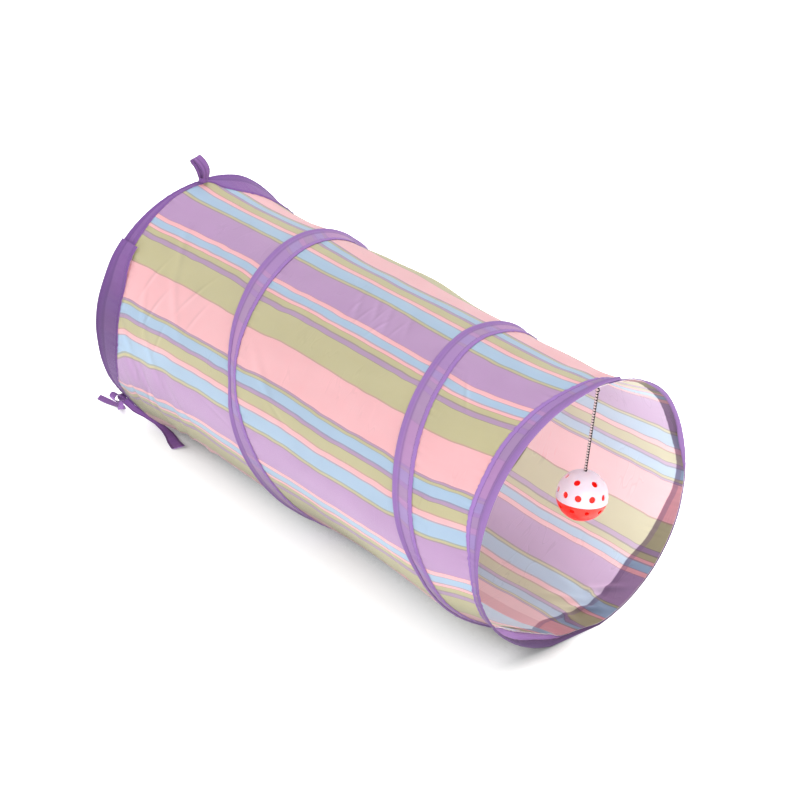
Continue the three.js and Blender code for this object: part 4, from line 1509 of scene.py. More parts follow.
@dataclass
class Strip:
    """A purple strip that is sewn on outside, over the wire."""

    name: str
    form: TunnelForm
    layout: StripeLayout
    folds: tuple[Fold, ...]
    start: float
    across: int = 36
    step: float = 0.75
    full_width: float = 16.0
    stitch_ahead: float = 4.0
    stitch_height: float = 0.62
    scallop: float = 0.45
    scallop_length: float = 6.2
    scallop_tone: float = 0.1
    hem_zone: Span = (0.05, 0.4)
    pucker_lift: float = 0.3
    thinnest: float = 0.5
    roll: SmoothTable | None = None

    def build(
        self,
        angles: np.ndarray,
        hem: np.ndarray,
        wire: np.ndarray,
        lift: np.ndarray,
        cloth: Sequence[Material],
        thread: Material,
    ) -> list[Piece]:
        """Makes the strip along some angles, and sews its hem.

        Args:
            angles: angles of its cross-sections.
            hem: setbacks of its sewn edge.
            wire: setbacks of its edge along the wire.
            lift: how far it is raised there.
            cloth: its outer and inner face's cloth.
            thread: its thread.

        Returns:
            The strip and its stitches.
        """
        width = np.abs(wire - hem)
        towards = np.sign(wire - hem)
        scale = np.minimum(1, width / self.full_width)
        arc = np.radians(angles) * self.form.radius
        pucker = ripple(arc, self.scallop_length, self.start)
        table = np.array(self.folds, float)[:, :, None] + 0 * angles
        share, ahead, outer, tone, under, shift = (table[:, k] for k in range(6))
        at_hem = 1 - smoothstep(tone, *self.hem_zone)
        scallop = towards * self.scallop * pucker * at_hem * (tone < self.scallop_tone)
        place = hem + (wire - hem) * share - scallop + towards * scale * ahead
        size = np.maximum(self.thinnest, scale)
        inner = scale**2
        if self.roll is not None:
            size = size * (1 - share * (1 - self.roll.at("outer", angles)))
            inner = inner * self.roll.at("inner", angles)
        rows = np.stack(
            [
                place,
                place + towards * scale * shift,
                outer * np.where(outer > 0, size, inner) + lift + self.pucker_lift * (pucker + 1) * at_hem,
                under * np.where(under > 0, 1, inner) + lift,
                tone,
            ]
        )
        rows = resample(np.moveaxis(rows, 1, 0), self.across + 1)
        place, under_place, outer, under, tone = (rows[:, k].T for k in range(5))
        angle = angles[:, None] + 0 * place
        top = self.form.points(place, angle, outer)
        bottom = self.form.points(under_place, angle, under)
        shown = np.where(wrapped(angle) < self.layout.seam, wrapped(angle) + 360, wrapped(angle))
        repeat = self.layout.repeat(place, shown)
        maps = {
            STRIPE_MAP: np.stack([repeat, 0 * repeat], axis=-1),
            CLOTH_MAP: cloth_map(self.form, place, angle),
            STRIP_MAP: np.stack([arc[:, None] * MM + 0 * tone, tone], axis=-1),
        }
        piece = Mesher.shell(self.name + "_strip_cloth", top, bottom, maps, cloth, False)
        height = self.stitch_height * np.maximum(self.thinnest, scale) + lift
        height = height + self.pucker_lift / 2 * (pucker + 1)
        line = self.form.points(hem + towards * scale * self.stitch_ahead, angles, height)
        return [piece, Stitching().sew(self.name + "_stitches", [line], thread)]


@dataclass
class Strips:
    """All three strips."""

    form: TunnelForm
    layout: StripeLayout
    mouth_lap: Triple = (102.0, -264.0, 2.4)
    rear_lap: Triple = (42.0, -324.0, 2.2)
    lap_fall: Span = (6.0, 20.0)
    spiral_turns: Span = (-60.0, 636.0)
    clear: float = 0.6
    shortest: float = 4.0

    def _lapped(self, strip: Strip, lap: Triple) -> tuple[np.ndarray, np.ndarray]:
        """Gives the angles of a strip whose upper end lies over its lower end.

        Args:
            strip: the strip.
            lap: angles of its upper and lower end, and how far the upper one is raised.

        Returns:
            The angles, and how far the strip is raised at each.
        """
        upper, lower, height = lap
        angles = np.arange(upper, lower - 0.01, -strip.step)
        return angles, height * (1 - smoothstep(upper - angles, *self.lap_fall))

    def mouth(self, cloth: Sequence[Material], thread: Material) -> list[Piece]:
        """Makes the strip round the mouth."""
        strip = Strip("mouth", self.form, self.layout, RIM_FOLDS, MOUTH_START, roll=MOUTH_ROLL)
        angles, lift = self._lapped(strip, self.mouth_lap)
        hem = MOUTH_EDGE.at("rear", angles)
        return strip.build(angles, hem, self.form.mouth_rim(angles), lift, cloth, thread)

    def rear(self, cloth: Sequence[Material], thread: Material) -> list[Piece]:
        """Makes the strip round the rear."""
        strip = Strip("rear", self.form, self.layout, RIM_FOLDS, REAR_START)
        angles, lift = self._lapped(strip, self.rear_lap)
        hem = REAR_EDGE.at("front", angles)
        return strip.build(angles, hem, self.form.rear_rim(angles), lift, cloth, thread)

    def spiral(self, cloth: Sequence[Material], thread: Material) -> list[Piece]:
        """Makes the strip along the spiral wire."""
        strip = Strip("spiral", self.form, self.layout, FLAT_FOLDS, SPIRAL_START)
        turns = np.arange(self.spiral_turns[0], self.spiral_turns[1] + 0.01, strip.step)
        front = np.maximum(SPIRAL.at("front", turns), self.form.mouth_edge(turns) + self.clear)
        rear = np.minimum(SPIRAL.at("rear", turns), self.form.rear_edge(turns) - self.clear)
        kept = rear - front >= self.shortest
        turns, front, rear = turns[kept], front[kept], rear[kept]
        return strip.build(turns, front, rear, np.zeros_like(turns), cloth, thread)


def smooth_path(points: np.ndarray, count: int) -> tuple[np.ndarray, np.ndarray]:
    """Runs a smooth curve through points, even for points of uneven spacing.

    Args:
        points: the points.
        count: how many points the curve has.

    Returns:
        The curve's points, and their places counted in the given points.
    """
    ends = np.vstack([2 * points[0] - points[1], points, 2 * points[-1] - points[-2]])
    places = np.linspace(0, len(points) - 1, count)
    i = np.minimum(places.astype(int), len(points) - 2)
    w = (places - i)[:, None]
    p0, p1, p2, p3 = (ends[i + k] for k in range(4))
    spans = (p1 - p0, p2 - p1, p3 - p2)
    d0, d1, d2 = (np.sqrt(np.linalg.norm(span, axis=1))[:, None] for span in spans)
    t1 = d1 * ((p1 - p0) / d0 - (p2 - p0) / (d0 + d1) + (p2 - p1) / d1)
    t2 = d1 * ((p2 - p1) / d1 - (p3 - p1) / (d1 + d2) + (p3 - p2) / d2)
    curve = p1 + t1 * w + (-3 * p1 + 3 * p2 - 2 * t1 - t2) * w**2 + (2 * p1 - 2 * p2 + t1 + t2) * w**3
    return curve, places


def path_length(line: np.ndarray) -> np.ndarray:
    """Gives the distance along a line at each of its points."""
    return np.concatenate([[0], np.cumsum(np.linalg.norm(np.diff(line, axis=0), axis=1))])


@dataclass
class Ribbon:
    """A ribbon along a path. Its rows hold setback, far, height, the width's direction and its share."""

    name: str
    form: TunnelForm
    width: float
    rows: tuple[tuple[float, ...], ...]
    cup: float = 0.5
    frayed: bool = False
    thickness: float = 0.8
    sections: int = 64
    across: int = 10
    cup_length: float = 11.0
    cup_start: float = 0.6
    sway: Wave = Wave(0.25, 3.0, 13, 0.0)
    ragged: float = 0.9
    ragged_wave: Span = (9.0, 2.3)
    thin_edge: float = 0.35

    def build(self, material: Material) -> Piece:
        """Makes the ribbon.

        Args:
            material: its cloth.

        Returns:
            The piece.
        """
        table = np.array(self.rows, float)
        centre, places = smooth_path(table[:, :3], self.sections)
        tangent = np.gradient(centre, axis=0)
        length = path_length(centre)
        tangent /= np.linalg.norm(tangent, axis=1)[:, None]
        index = np.arange(len(table))
        side = np.stack([np.interp(places, index, table[:, 3 + k]) for k in range(3)], axis=1)
        side -= tangent * np.sum(side * tangent, axis=1)[:, None]
        side /= np.linalg.norm(side, axis=1)[:, None]
        normal = np.cross(tangent, side)
        half = self.width * np.interp(places, index, table[:, 6]) / 2
        share = np.linspace(-1, 1, self.across + 1)
        middle = centre[:, None] + side[:, None] * (half[:, None] * share[None, :])[..., None]
        bend = self.cup * (1 - share**2)[None, :] * np.sin(length / self.cup_length + self.cup_start)[:, None]
        bend = bend + self.sway._replace(start=self.width).at(length[:, None], share[None, :])
        middle = middle + normal[:, None] * bend[..., None]
        if self.frayed:
            spread, wave = self.ragged_wave
            ragged = self.ragged * ripple(share * spread, wave, self.width)
            middle[-1] += tangent[-1] * ragged[:, None]
        thick = self.thickness / 2 * (1 - self.thin_edge * share**4)[None, :, None]
        top = middle + normal[:, None] * thick
        under = middle - normal[:, None] * thick
        for grid in (top, under):
            grid[..., 2] = np.maximum(grid[..., 2], 0)
        flat = np.broadcast_to(share[None, :] * self.width / 2, (self.sections, self.across + 1))
        grid = np.stack([flat * MM, np.broadcast_to(length[:, None], flat.shape) * MM], axis=-1)
        maps = {STRIPE_MAP: grid, CLOTH_MAP: grid}
        return Mesher.shell(self.name, self.form.place(top), self.form.place(under), maps, [material], False)


HANG_LOOP = (
    (507.5, -3.5, 247.05, -0.1, 1, 0, 0.72),
    (505, -3.5, 254, -0.1, 1, 0.1, 0.8),
    (503.8, -5, 261, -0.1, 1, 0.2, 0.95),
    (506, -8, 268, -0.1, 1, 0.3, 1),
    (511.5, -11, 272.6, -0.1, 1, 0.35, 1),
    (516, -10.5, 269, -0.1, 1, 0.3, 1),
    (515.6, -6, 262, -0.1, 1, 0.2, 0.95),
    (513.6, -4, 254.5, -0.1, 1, 0.1, 0.8),
    (511.5, -3, 247.2, -0.1, 1, 0, 0.72),
)
LOOP_WRAP = (
    (514.2, -3.3, 249.4, 0, 0, 1, 1),
    (511.4, -7.4, 249.2, 0, 0, 1, 1),
    (507.4, -7.6, 249.4, 0, 0, 1, 0.9),
    (504.6, -3.6, 249.6, 0, 0, 1, 1),
    (507.4, 0.6, 249.5, 0, 0, 1, 1),
    (511.6, 0.5, 249.3, 0, 0, 1, 0.9),
    (514.2, -3.3, 249.4, 0, 0, 1, 1),
)
TIE_BOW = (
    (513.6, -94.8, 33.7, -1, 0.1, 0, 0.6),
    (513.6, -97.8, 37.3, -1, 0.1, 0, 0.9),
    (513.6, -101.4, 38.5, -1, 0.1, 0, 1),
    (513.6, -104, 35.5, -1, 0.1, 0, 1),
    (513.6, -102.4, 32.1, -1, 0.1, 0, 1),
    (513.6, -99.2, 29.3, -1, 0.1, 0, 0.9),
    (514.1, -96.2, 27.9, -1, 0.1, 0, 0.6),
)
TIE_END = (
    (515.6, -91, 27.5, -0.6, 0.8, 0, 0.6),
    (516.7, -90.6, 22.95, -0.6, 0.8, 0, 0.6),
    (521, -88, 13.5, -0.55, 0.83, 0, 0.75),
    (531, -79, 6, -0.45, 0.9, 0, 0.9),
    (543, -73, 1.8, -0.3, 0.95, 0, 1),
    (555, -75.5, 0.6, -0.27, 0.96, 0, 1),
    (568, -82, 3.2, -0.27, 0.96, 0.1, 0.85),
)
TIE_TAIL = (
    (514.0, -91, 29, 0.55, 0.4, 0.72, 0.5),
    (510.2, -87.4, 25.6, 0.55, 0.4, 0.72, 0.66),
    (505.5, -82.2, 18.8, 0.5, 0.5, 0.7, 0.6),
    (499, -73.6, 11.6, 0.4, 0.65, 0.62, 0.44),
    (490, -66.5, 5.4, 0.35, 0.8, 0.4, 0.44),
    (478, -64, 1.7, 0.3, 0.95, 0.1, 0.75),
    (466, -66, 0.5, 0.4, 0.9, 0, 1),
    (455, -70, 0.5, 0.5, 0.86, 0, 1.1),
    (444, -73, 1.2, 0.56, 0.83, 0, 1.2),
)


# Each ribbon's width and path, and where they differ from the usual its cup and whether its end is frayed.
RIBBONS = {
    "loop_ribbon": (9, HANG_LOOP),
    "loop_wrap": (4.6, LOOP_WRAP, 0.3),
    "bow_ribbon": (8, TIE_BOW, 0.2),
    "short_end": (8, TIE_END, 0.5, True),
    "long_end": (11.5, TIE_TAIL, 0.5, True),
}


@dataclass
class Ribbons:
    """The hanging loop and the tied ribbon at the rear."""

    form: TunnelForm
    knot_centre: Triple = (515.0, -90.8, 30.0)
    knot_size: Triple = (5.0, 4.1, 5.0)
    knot_lean: float = 45.0
    knot_around: int = 48
    knot_along: int = 28
    knot_pole: float = 88.0
    knot_twist: float = 0.9
    knot_lumps: Triple = (0.07, 0.05, 0.03)
    knot_fill: float = 0.94
    knot_core: float = 0.55
    weave_radius: float = 5.0

    def make(self, name: str, cloth: Material) -> Piece:
        """Makes the ribbon of that name."""
        return Ribbon(name, self.form, *RIBBONS[name]).build(cloth)

    def knot(self, cloth: Material) -> Piece:
        """Makes the knot as a ribbon wound over itself."""
        turn = np.radians(360 * np.arange(self.knot_around) / self.knot_around)[:, None]
        rise = np.radians(np.linspace(-self.knot_pole, self.knot_pole, self.knot_along + 1))[None, :]
        wound = turn + self.knot_twist * rise
        large, medium, small = self.knot_lumps
        lumps = 1 + large * np.cos(3 * wound) + medium * np.cos(7 * rise + 2 * turn)
        lumps = lumps + small * np.sin(5 * wound + 4 * rise)
        level = np.cos(rise)
        ball = np.stack([level * np.cos(turn), level * np.sin(turn), np.sin(rise) + 0 * turn], axis=-1)
        shape = ball * (lumps * self.knot_fill)[..., None] * np.array(self.knot_size)
        lean = math.radians(self.knot_lean)
        c, s = math.cos(lean), math.sin(lean)
        far = shape[..., 1] * c - shape[..., 2] * s
        up = shape[..., 1] * s + shape[..., 2] * c
        centre = np.array(self.knot_centre)
        outer = np.stack([-shape[..., 0], far, up], axis=-1) + centre
        core = centre + self.knot_core * (outer - centre)
        lines = np.concatenate([turn, turn[:1] + 2 * math.pi])
        grid = np.stack(np.broadcast_arrays(lines, rise), axis=-1) * self.weave_radius * MM
        maps = {STRIPE_MAP: grid, CLOTH_MAP: grid}
        return Mesher.shell("bow_knot", self.form.place(outer), self.form.place(core), maps, [cloth], True)


@dataclass
class ToyBall:
    """The perforated ball that hangs in the mouth, its cord and its knots."""

    form: TunnelForm
    knot: Triple
    radius: float = 22.2
    wall: float = 1.4
    seam: float = -3.3
    seam_gap: float = 0.3
    lip: float = 0.3
    lean: float = 8.0
    heading: float = 135.0
    hole_radius: float = 2.9
    lower_hole_radius: float = 2.0
    hole_sides: int = 22
    hole_depth: float = 3.0
    cord_diameter: float = 2.8
    cord_inside: float = 0.6
    cord_above: float = 6.0
    cord_below: float = 12.0
    yarn_share: float = 0.97
    knot_radius: float = 2.0
    cord_gap: float = 0.3
    centre: Triple = (6.4, 19.0, 140.0)
    upper_rows: tuple[tuple[float, int, float], ...] = ((12.5, 11, 6.4), (47, 6, 47))
    lower_rows: tuple[tuple[float, int, float], ...] = ((-21.5, 10, 2), (-56, 5, 6))
    lip_height: float = 0.7
    segments: int = 96
    rings: int = 30
    ring_crowding: float = 1.15
    sharp: float = 35.0
    flange_levels: Span = (-2.5, 9.3)
    flange_gap: float = 0.3
    flange_wall: float = 0.8
    flange_rings: int = 9
    pole_knot_radius: float = 1.7
    pole_knot_lift: float = 1.2
    tube_sides: int = 16
    braid_depth: float = 0.05
    braid_length: float = 0.8
    braid_strands: int = 4
    route_points: int = 40
    cord_sections: int = 240
    cord_sharp: float = 60.0
    bead_rings: int = 22
    bead_end: float = 0.97
    bead_lumps: Triple = (0.07, 9.0, 0.8)

    def _placing(self) -> Matrix:
        """Gives the move from round the origin to where the ball hangs, in metres."""
        heading = math.radians(self.heading)
        axis = Vector((-math.sin(heading), math.cos(heading), 0))
        place = self.form.place(self.centre)
        return Matrix.Translation(Vector(place)) @ Matrix.Rotation(math.radians(self.lean), 4, axis)

    def _spin(self, width: np.ndarray, level: np.ndarray) -> np.ndarray:
        """Turns a profile of widths and levels round the upright axis, in metres."""
        turn = np.radians(360 * np.arange(self.segments) / self.segments)[:, None]
        return np.stack(np.broadcast_arrays(width * np.cos(turn), width * np.sin(turn), level), axis=-1) * MM

    def _half(
        self,
        name: str,
        low: float,
        high: float,
        rows: Sequence[tuple[float, int, float]],
        material: Material,
    ) -> Piece:
        """Makes half of the shell, with its holes cut by Geometry Nodes.

        Args:
            name: the piece's name.
            low: the angle above the equator where the half ends at the seam.
            high: the angle where it ends at the pole.
            rows: angle above the equator, count and first angle of each row of holes.
            material: its plastic.

        Returns:
            The piece.
        """
        steps = np.linspace(0, 1, self.rings + 1) ** self.ring_crowding
        above = np.radians(low + (high - low) * steps)
        level = self.radius * np.sin(above)
        lip = self.lip * np.exp(-(((level - level[0]) / self.lip_height) ** 2))
        outer = self._spin((self.radius + lip) * np.cos(above), level)
        bore = self.radius - self.wall
        width, inner_level = bore * np.cos(above), bore * np.sin(above)
        width[0], inner_level[0] = math.sqrt(bore**2 - level[0] ** 2), level[0]
        inside = self._spin(width, inner_level)
        shell = Mesher.shell(name + "_shell", outer, inside, {}, [material], True)
        if high < 0:
            self._close_pole(shell.data)
        aims = []
        for angle, count, first in rows:
            for k in range(count):
                heading, tip = math.radians(first + 360 * k / count), math.radians(angle)
                reach = math.cos(tip)
                aims.append((reach * math.cos(heading), reach * math.sin(heading), math.sin(tip)))
        size = self.hole_radius if high > 0 else self.lower_hole_radius
        mesh = self._pierced(name, shell, aims, size)
        bpy.data.objects.remove(shell)
        mesh.transform(self._placing())
        mesh.materials.clear()
        return Mesher.piece(name, mesh, [material], self.sharp)

    @staticmethod
    def _close_pole(mesh: bpy.types.Mesh) -> None:
        """Merges the points at a pole, and closes what is left."""
        work = bmesh.new()
        work.from_mesh(mesh)
        bmesh.ops.remove_doubles(work, verts=work.verts, dist=2e-6)
        bmesh.ops.dissolve_degenerate(work, edges=work.edges, dist=1e-7)
        work.to_mesh(mesh)
        work.free()

    def _pierced(self, name: str, shell: Piece, aims: Sequence[Triple], size: float) -> bpy.types.Mesh:
        """Cuts a round hole through the shell in each direction.

        Args:
            name: the piece's name.
            shell: the shell without holes.
            aims: directions of the holes from the middle.
            size: their radius.

        Returns:
            The shell's mesh with its holes.
        """
        marks = bpy.data.meshes.new(name + "_marks")
        marks.from_pydata([tuple(c * self.radius * MM for c in aim) for aim in aims], [], [])
        holder = put(name + "_marks", marks)
        tree = NodeTree(name, {"Hole radius": size * MM, "Depth": self.hole_depth * self.wall * MM})
        places = tree.node("GeometryNodeObjectInfo", None, {"Object": holder})
        drill = tree.node(
            "GeometryNodeMeshCylinder",
            {"fill_type": "NGON"},
            {"Vertices": self.hole_sides, "Radius": tree.size("Hole radius"), "Depth": tree.size("Depth")},
        )
        where = tree.node("GeometryNodeInputPosition")
        drills = tree.scattered(places.outputs["Geometry"], drill.outputs[0], where.outputs[0])
        cut = tree.node(
            "GeometryNodeMeshBoolean",
            {"operation": "DIFFERENCE", "solver": "EXACT"},
            {"Mesh 1": tree.start.outputs[0], "Mesh 2": drills},
        )
        mesh = tree.result(shell, cut.outputs["Mesh"])
        bpy.data.objects.remove(holder)
        return mesh

    def upper(self, material: Material) -> Piece:
        """Makes the white half, open at its pole for the cord."""
        low = math.degrees(math.asin((self.seam + self.seam_gap / 2) / self.radius))
        pole = math.degrees(math.acos((self.cord_diameter / 2 + self.cord_gap) / self.radius))
        return self._half("ball_white", low, pole, self.upper_rows, material)

    def lower(self, material: Material) -> Piece:
        """Makes the red half."""
        low = math.degrees(math.asin((self.seam - self.seam_gap / 2) / self.radius))
        return self._half("ball_red", low, -90, self.lower_rows, material)

    def flange(self, material: Material) -> Piece:
        """Makes the ring inside the seam that the white half snaps on."""
        reach = self.radius - self.wall - self.flange_gap
        low, high = (self.seam + level for level in self.flange_levels)
        levels = np.linspace(low, high, self.flange_rings)
        width = np.sqrt(reach**2 - levels**2)
        outer, inner = (self._spin(size, levels) for size in (width, width - self.flange_wall))
        piece = Mesher.shell("ball_flange", outer, inner, {}, [material], True)
        piece.data.transform(self._placing())
        return piece

    def route(self) -> np.ndarray:
        """Gives the cord's line, from under its knot into the ball, in metres."""
        placing = self._placing()
        inside = placing @ Vector((0, 0, (self.radius - self.wall - self.cord_inside) * MM))
        above = placing @ Vector((0, 0, (self.radius + self.cord_above) * MM))
        start = Vector(self.knot) - Vector((0, 0, (self.knot_radius + self.cord_gap) * MM))
        under = start - Vector((0, 0, self.cord_below * MM))
        line, _ = smooth_path(np.array([start, under, above, inside]), self.route_points)
        return line

    def _tube(self, name: str, line: np.ndarray, reach: np.ndarray, material: Material) -> Piece:
        """Makes a round braided piece along a line.

        Args:
            name: the piece's name.
            line: its points.
            reach: its radius at each point, in metres.
            material: its yarn.

        Returns:
            The piece.
        """
        tangent = np.gradient(line, axis=0)
        tangent /= np.linalg.norm(tangent, axis=1)[:, None]
        side = np.cross(tangent, (0.0, 1.0, 0.0))
        side /= np.linalg.norm(side, axis=1)[:, None]
        other = np.cross(tangent, side)
        turn = np.radians(360 * np.arange(self.tube_sides) / self.tube_sides)
        length = path_length(line)
        climb = length[:, None] / (self.braid_length * MM)
        strand = self.braid_strands * turn[None, :]
        braid = 1 + self.braid_depth * np.sin(strand + climb) * np.sin(strand - climb)
        spoke = side[:, None] * np.cos(turn)[None, :, None] + other[:, None] * np.sin(turn)[None, :, None]
        ring = line[:, None] + spoke * (reach[:, None] * braid)[..., None]
        rows, columns = ring.shape[:2]
        points = [tuple(p) for p in ring.reshape(-1, 3)] + [tuple(line[0]), tuple(line[-1])]
        faces, corners = [], []
        for r in range(rows - 1):
            for c in range(columns):
                n = (c + 1) % columns
                faces.append((r * columns + c, r * columns + n, (r + 1) * columns + n, (r + 1) * columns + c))
                corners += [(c, r), (c + 1, r), (c + 1, r + 1), (c, r + 1)]
        first, last = rows * columns, rows * columns + 1
        for c in range(columns):
            n = (c + 1) % columns
            faces.append((first, n, c))
            corners += [(c, 0)] * 3
            faces.append((last, (rows - 1) * columns + c, (rows - 1) * columns + n))
            corners += [(c, rows - 1)] * 3
        mesh = bpy.data.meshes.new(name)
        mesh.from_pydata(points, [], faces)
        layer = mesh.uv_layers.new(name=CLOTH_MAP)
        for loop, (c, r) in zip(layer.data, corners):
            loop.uv = (2 * c / columns, length[r])
        work = bmesh.new()
        work.from_mesh(mesh)
        bmesh.ops.recalc_face_normals(work, faces=work.faces)
        work.to_mesh(mesh)
        work.free()
        return Mesher.piece(name, mesh, [material], self.cord_sharp)

    def cord(self, material: Material) -> Piece:
        """Makes the braided cord."""
        fine, _ = smooth_path(self.route(), self.cord_sections)
        reach = np.full(len(fine), self.cord_diameter / 2 * MM * self.yarn_share)
        return self._tube("braided_cord", fine, reach, material)

    def _bead(self, name: str, middle: Vector, radius: float, material: Material) -> Piece:
        """Makes a small knot, as a lumpy bead."""
        share = np.linspace(-self.bead_end, self.bead_end, self.bead_rings)
        line = np.array(middle)[None, :] + np.stack([0 * share, 0 * share, share * radius * MM], axis=-1)
        depth, pace, start = self.bead_lumps
        reach = radius * MM * np.sqrt(1 - share**2) * (1 + depth * np.sin(pace * share + start))
        return self._tube(name, line, reach, material)

    def ceiling_knot(self, material: Material) -> Piece:
        """Makes the knot under the ceiling of the mouth."""
        return self._bead("ceiling_knot", Vector(self.knot), self.knot_radius, material)

    def pole_knot(self, material: Material) -> Piece:
        """Makes the knot on the ball's pole."""
        place = self._placing() @ Vector((0, 0, (self.radius + self.pole_knot_lift) * MM))
        return self._bead("pole_knot", place, self.pole_knot_radius, material)


@dataclass
class Studio:
    """The pale floor, the soft light and the camera."""

    camera_place: Triple = (1.1335, -1.0864, 0.980)
    forward: Triple = (-0.6174, 0.6201, -0.4841)
    roll: float = 5.629
    lens: float = 86.22
    sensor: float = 36.0
    clip: Span = (0.05, 50.0)
    floor_size: float = 14.0
    floor_level: float = -0.4
    floor_colour: Triple = (0.5, 0.51, 0.5)
    floor_glow: float = 0.8
    # Sizes of the floor's painted shadows: the occlusion test, the steps of shade, the painted clearing by
    # the mouth and the painted contact shadow.
    sky_lean: Triple = (-0.75, -0.12, 0.65)
    sky_reach: float = 0.4
    shade_steps: tuple[Triple, ...] = ((0.31, 0.41, 0.54), (0.4, 0.6, 0.25))
    darkest: float = 0.22
    open_step: Triple = (0.56, 0.85, 0.65)
    clear_ahead: Span = (200.0, 270.0)
    clear_far: Span = (-35.0, 50.0)
    cleared: float = 0.45
    touch_place: Span = (0.281, -0.025)
    touch_size: Span = (0.009, 0.045)
    contact_shadow_dark: float = 0.7
    sky_colour: Triple = (1.0, 1.0, 1.0)
    sky_power: float = 0.54
    sky_samples: int = 16
    floor_roughness: float = 0.9
    floor_shine: float = 0.1
    lamps: tuple[tuple[str, Triple, Triple, float, float], ...] = (
        ("top_light", (-0.4, 0.3, 2.6), (0.0, 0.0, 0.1), 2.6, 36.0),
        ("front_light", (2.4, -1.4, 1.6), (0.1, 0.0, 0.12), 1.8, 32.0),
    )

    def camera(self) -> None:
        """Puts the camera at the photograph's place."""
        forward = Vector(self.forward).normalized()
        right = forward.cross(Vector((0, 0, 1))).normalized()
        up = right.cross(forward)
        a = math.radians(self.roll)
        turned_right = right * math.cos(a) + up * math.sin(a)
        turned_up = up * math.cos(a) - right * math.sin(a)
        data = bpy.data.cameras.new("camera")
        data.lens = self.lens
        data.sensor_width = self.sensor
        data.clip_start, data.clip_end = self.clip
        made = put("camera", data)
        turn = Matrix((turned_right, turned_up, -forward)).transposed().to_4x4()
        made.matrix_world = Matrix.Translation(Vector(self.camera_place)) @ turn
        bpy.context.scene.camera = made

    def _shade(self, paint: Paint) -> Term:
        """Gives the floor's glow, which paints its shadows: painted shade near the tube, a painted contact
        shadow where the mouth strip touches it, and less painted shade by the mouth on the far side.
        """
        x, y, _ = paint.split(paint.own_place())
        # Painted shade: the floor's glow drops where an occlusion test finds the tube near.
        lean = paint.node("ShaderNodeCombineXYZ", None, dict(enumerate(self.sky_lean))).outputs[0]
        sky = {"Distance": self.sky_reach, "Normal": lean}
        open_sky = paint.term("ShaderNodeAmbientOcclusion", {"samples": self.sky_samples}, sky, "AO")
        # Painted light: the floor by the mouth on the far side is lifted, taking away its painted shade.
        open_sky = open_sky + x.between(self.clear_ahead) * y.between(self.clear_far) * self.cleared
        near = self.darkest
        for low, high, share in self.shade_steps:
            near = near + open_sky.rise(low, high) * share
        # Painted contact shadow: a soft dark patch where the mouth strip touches the floor.
        ahead = (x - self.touch_place[0]) * (1 / self.touch_size[0])
        aside = (y - self.touch_place[1]) * (1 / self.touch_size[1])
        contact_shadow = (0 - ahead * ahead - aside * aside).power()
        low, high, share = self.open_step
        return near * (1 - contact_shadow * self.contact_shadow_dark) + open_sky.rise(low, high) * share

    def floor(self) -> Piece:
        """Makes the floor."""
        paint = Paint("studio_floor")
        material = paint.finish(
            {
                "Base Color": (*self.floor_colour, 1.0),
                "Roughness": self.floor_roughness,
                "Specular IOR Level": self.floor_shine,
                "Emission Color": paint.grey(self._shade(paint)),
                "Emission Strength": self.floor_glow,
            }
        )
        half = self.floor_size / 2
        corners = [(-half, -half, 0), (half, -half, 0), (half, half, 0), (-half, half, 0)]
        mesh = bpy.data.meshes.new("studio_floor")
        mesh.from_pydata(corners, [], [(0, 1, 2, 3)])
        mesh.materials.append(material)
        made = put("studio_floor", mesh)
        made.location.z = self.floor_level * MM
        return made

    @staticmethod
    def lamp(name: str, place: Triple, aim: Triple, size: float, power: float) -> None:
        """Hangs one soft lamp.

        Args:
            name: its name.
            place: where it hangs.
            aim: what it points at.
            size: the side of its square.
            power: its power in watts.
        """
        data = bpy.data.lights.new(name, "AREA")
        data.shape = "SQUARE"
        data.size = size
        data.energy = power
        made = put(name, data)
        made.location = place
        made.rotation_mode = "QUATERNION"
        made.rotation_quaternion = (Vector(aim) - Vector(place)).to_track_quat("-Z", "Y")

    def light(self) -> None:
        """Lights the scene."""
        scene = bpy.context.scene
        scene.view_settings.view_transform = "Standard"
        world = bpy.data.worlds.new("studio")
        world.use_nodes = True
        sky = world.node_tree.nodes["Background"].inputs
        sky[0].default_value = (*self.sky_colour, 1.0)
        sky[1].default_value = self.sky_power
        scene.world = world
        for lamp in self.lamps:
            self.lamp(*lamp)


def dress(pieces: Sequence[Piece], body: str, replaced: str | None = None) -> None:
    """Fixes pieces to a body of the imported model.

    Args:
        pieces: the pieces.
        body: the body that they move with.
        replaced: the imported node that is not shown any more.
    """
    for piece in pieces:
        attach(piece, body)
        LOG.info("%s rides on %s, %d faces", piece.name, body, len(piece.data.polygons))
    if replaced is not None:
        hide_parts(replaced)


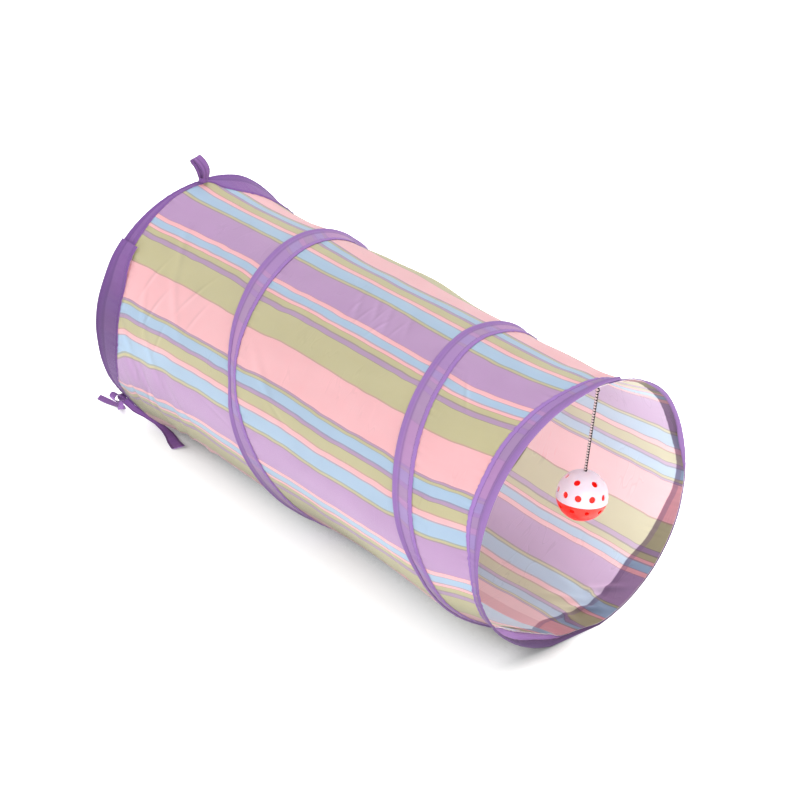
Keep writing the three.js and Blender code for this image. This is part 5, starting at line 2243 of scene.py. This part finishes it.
def main() -> None:
    """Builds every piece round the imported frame."""
    logging.basicConfig(level=logging.INFO, format="%(name)s: %(message)s")
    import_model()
    low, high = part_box("cord_knot")
    knot = tuple((a + b) / 2 for a, b in zip(low, high))
    form = TunnelForm((knot[0] + KNOT_SETBACK * MM, knot[1] - KNOT_FAR * MM))
    layout = StripeLayout()
    studio = Studio()
    studio.camera()
    studio.light()
    studio.floor()

    yarn = BraidFinish("black_white_braid", linear(28, 13, 17), linear(234, 208, 208)).make()
    pale, less_pale = linear(236, 222, 232), linear(230, 216, 228)
    # Both halves glow a little: painted light that flattens their shading.
    white = ShellFinish("white_plastic", pale, less_pale, through=0.5, glow=0.16).make()
    bright, less_bright = linear(250, 42, 26), linear(246, 36, 22)
    red = ShellFinish("red_plastic", bright, less_bright, through=0.3, glow=0.2).make()
    ball = ToyBall(form, knot)
    cord = ball.cord(yarn)
    shells = [ball.upper(white), ball.lower(red), ball.flange(red)]
    pole_knot = ball.pole_knot(yarn)
    dress([cord, pole_knot], "ball", "ball_cord")
    dress(shells[:1], "ball", "ball_upper")
    dress(shells[1:], "ball", "ball_lower")
    dress([ball.ceiling_knot(yarn)], "knot", "cord_knot")

    striped = {"through": 0.9, "depth": 1.8}
    outside = StripedFinish(
        "striped_cloth_outside", **striped, crease_shading=0.06, relief=0.5, fine=PAINTED_CREASE_LINES, painted_low_shade=0.72
    ).make()
    inside = StripedFinish(
        "striped_cloth_inside",
        **striped,
        roughness=0.8,
        crease_shading=0.12,
        # Painted light: the inner face glows.
        relief=0.35,
        glow=0.2,
        pale=0.19,
        strip_shade=0.9,
    ).make()
    edgeless = {"half_width": 1000.0}
    cut_edge = RibbonFinish("cloth_cut_edge", 0.5, plain=linear(240, 222, 224), **edgeless).make()
    thin = {"line": linear(104, 72, 130), "filter": (0.68, 0.58, 0.84), "see_through": 0.3}
    rim_cloth = StripFinish(
        "purple_rim_strip",
        0.0,
        single=linear(166, 130, 188),
        hem=linear(164, 124, 194),
        casing=linear(148, 111, 172),
        **thin,
    ).make()
    strip_cloth = StripFinish(
        "purple_spiral_strip",
        0.3,
        1.0,
        single=linear(180, 144, 196),
        hem=linear(164, 124, 192),
        casing=linear(156, 118, 182),
        **thin,
    ).make()
    rear_cloth = StripFinish(
        "purple_rear_strip",
        0.0,
        single=linear(144, 101, 171),
        hem=linear(136, 93, 165),
        casing=linear(130, 89, 159),
        line=linear(96, 64, 124),
        filter=(0.62, 0.5, 0.8),
        see_through=0.05,
        # Painted shade on the rear strip, fading out between these heights.
        painted_low_shade=0.45,
        shaded=(110.0, 236.0),
    ).make()
    lining = RibbonFinish("purple_lining", 0.4, 1.0, plain=linear(168, 128, 190), **edgeless).make()
    loop_cloth = RibbonFinish("purple_loop", 0.2, 1.0, plain=linear(150, 106, 172), folded=0.85).make()
    ribbon_cloth = RibbonFinish("purple_ribbon", 0.2, 1.0, plain=linear(142, 98, 166)).make()
    # Painted light: the long tail has a lighter copy of the ribbon's purple, since it lies in the tube's
    # shade.
    lightened_tail_cloth = RibbonFinish("purple_tail_lightened", 0.4, 1.0, plain=linear(172, 122, 204)).make()
    thread = ThreadFinish("purple_thread", linear(142, 104, 170)).make()

    tube = ClothTube(form, layout).build([outside, inside, cut_edge])
    strips = Strips(form, layout)
    mouth = strips.mouth([rim_cloth, lining], thread)
    spiral = strips.spiral([strip_cloth, lining], thread)
    rear = strips.rear([rear_cloth, lining], thread)
    ribbons = Ribbons(form)
    loop = ribbons.make("loop_ribbon", loop_cloth)
    wrap = ribbons.make("loop_wrap", ribbon_cloth)
    bow = ribbons.make("bow_ribbon", ribbon_cloth)
    short_end = ribbons.make("short_end", ribbon_cloth)
    long_end = ribbons.make("long_end", lightened_tail_cloth)
    knot_piece = ribbons.knot(ribbon_cloth)
    dress([tube], "tunnel", "striped_tube")
    dress(mouth, "tunnel", "mouth_strip")
    dress(spiral, "tunnel", "spiral_strip")
    dress(rear, "tunnel", "rear_strip")
    dress([loop, wrap], "tunnel", "hang_loop")
    dress([bow], "tunnel", "tie_bow")
    dress([short_end], "tunnel", "tie_end")
    dress([long_end], "tunnel", "tie_tail")
    dress([knot_piece], "tunnel", "tie_knot")

    line = ball.route()
    ball.cord_diameter * MM


if __name__ == "__main__":
    main()
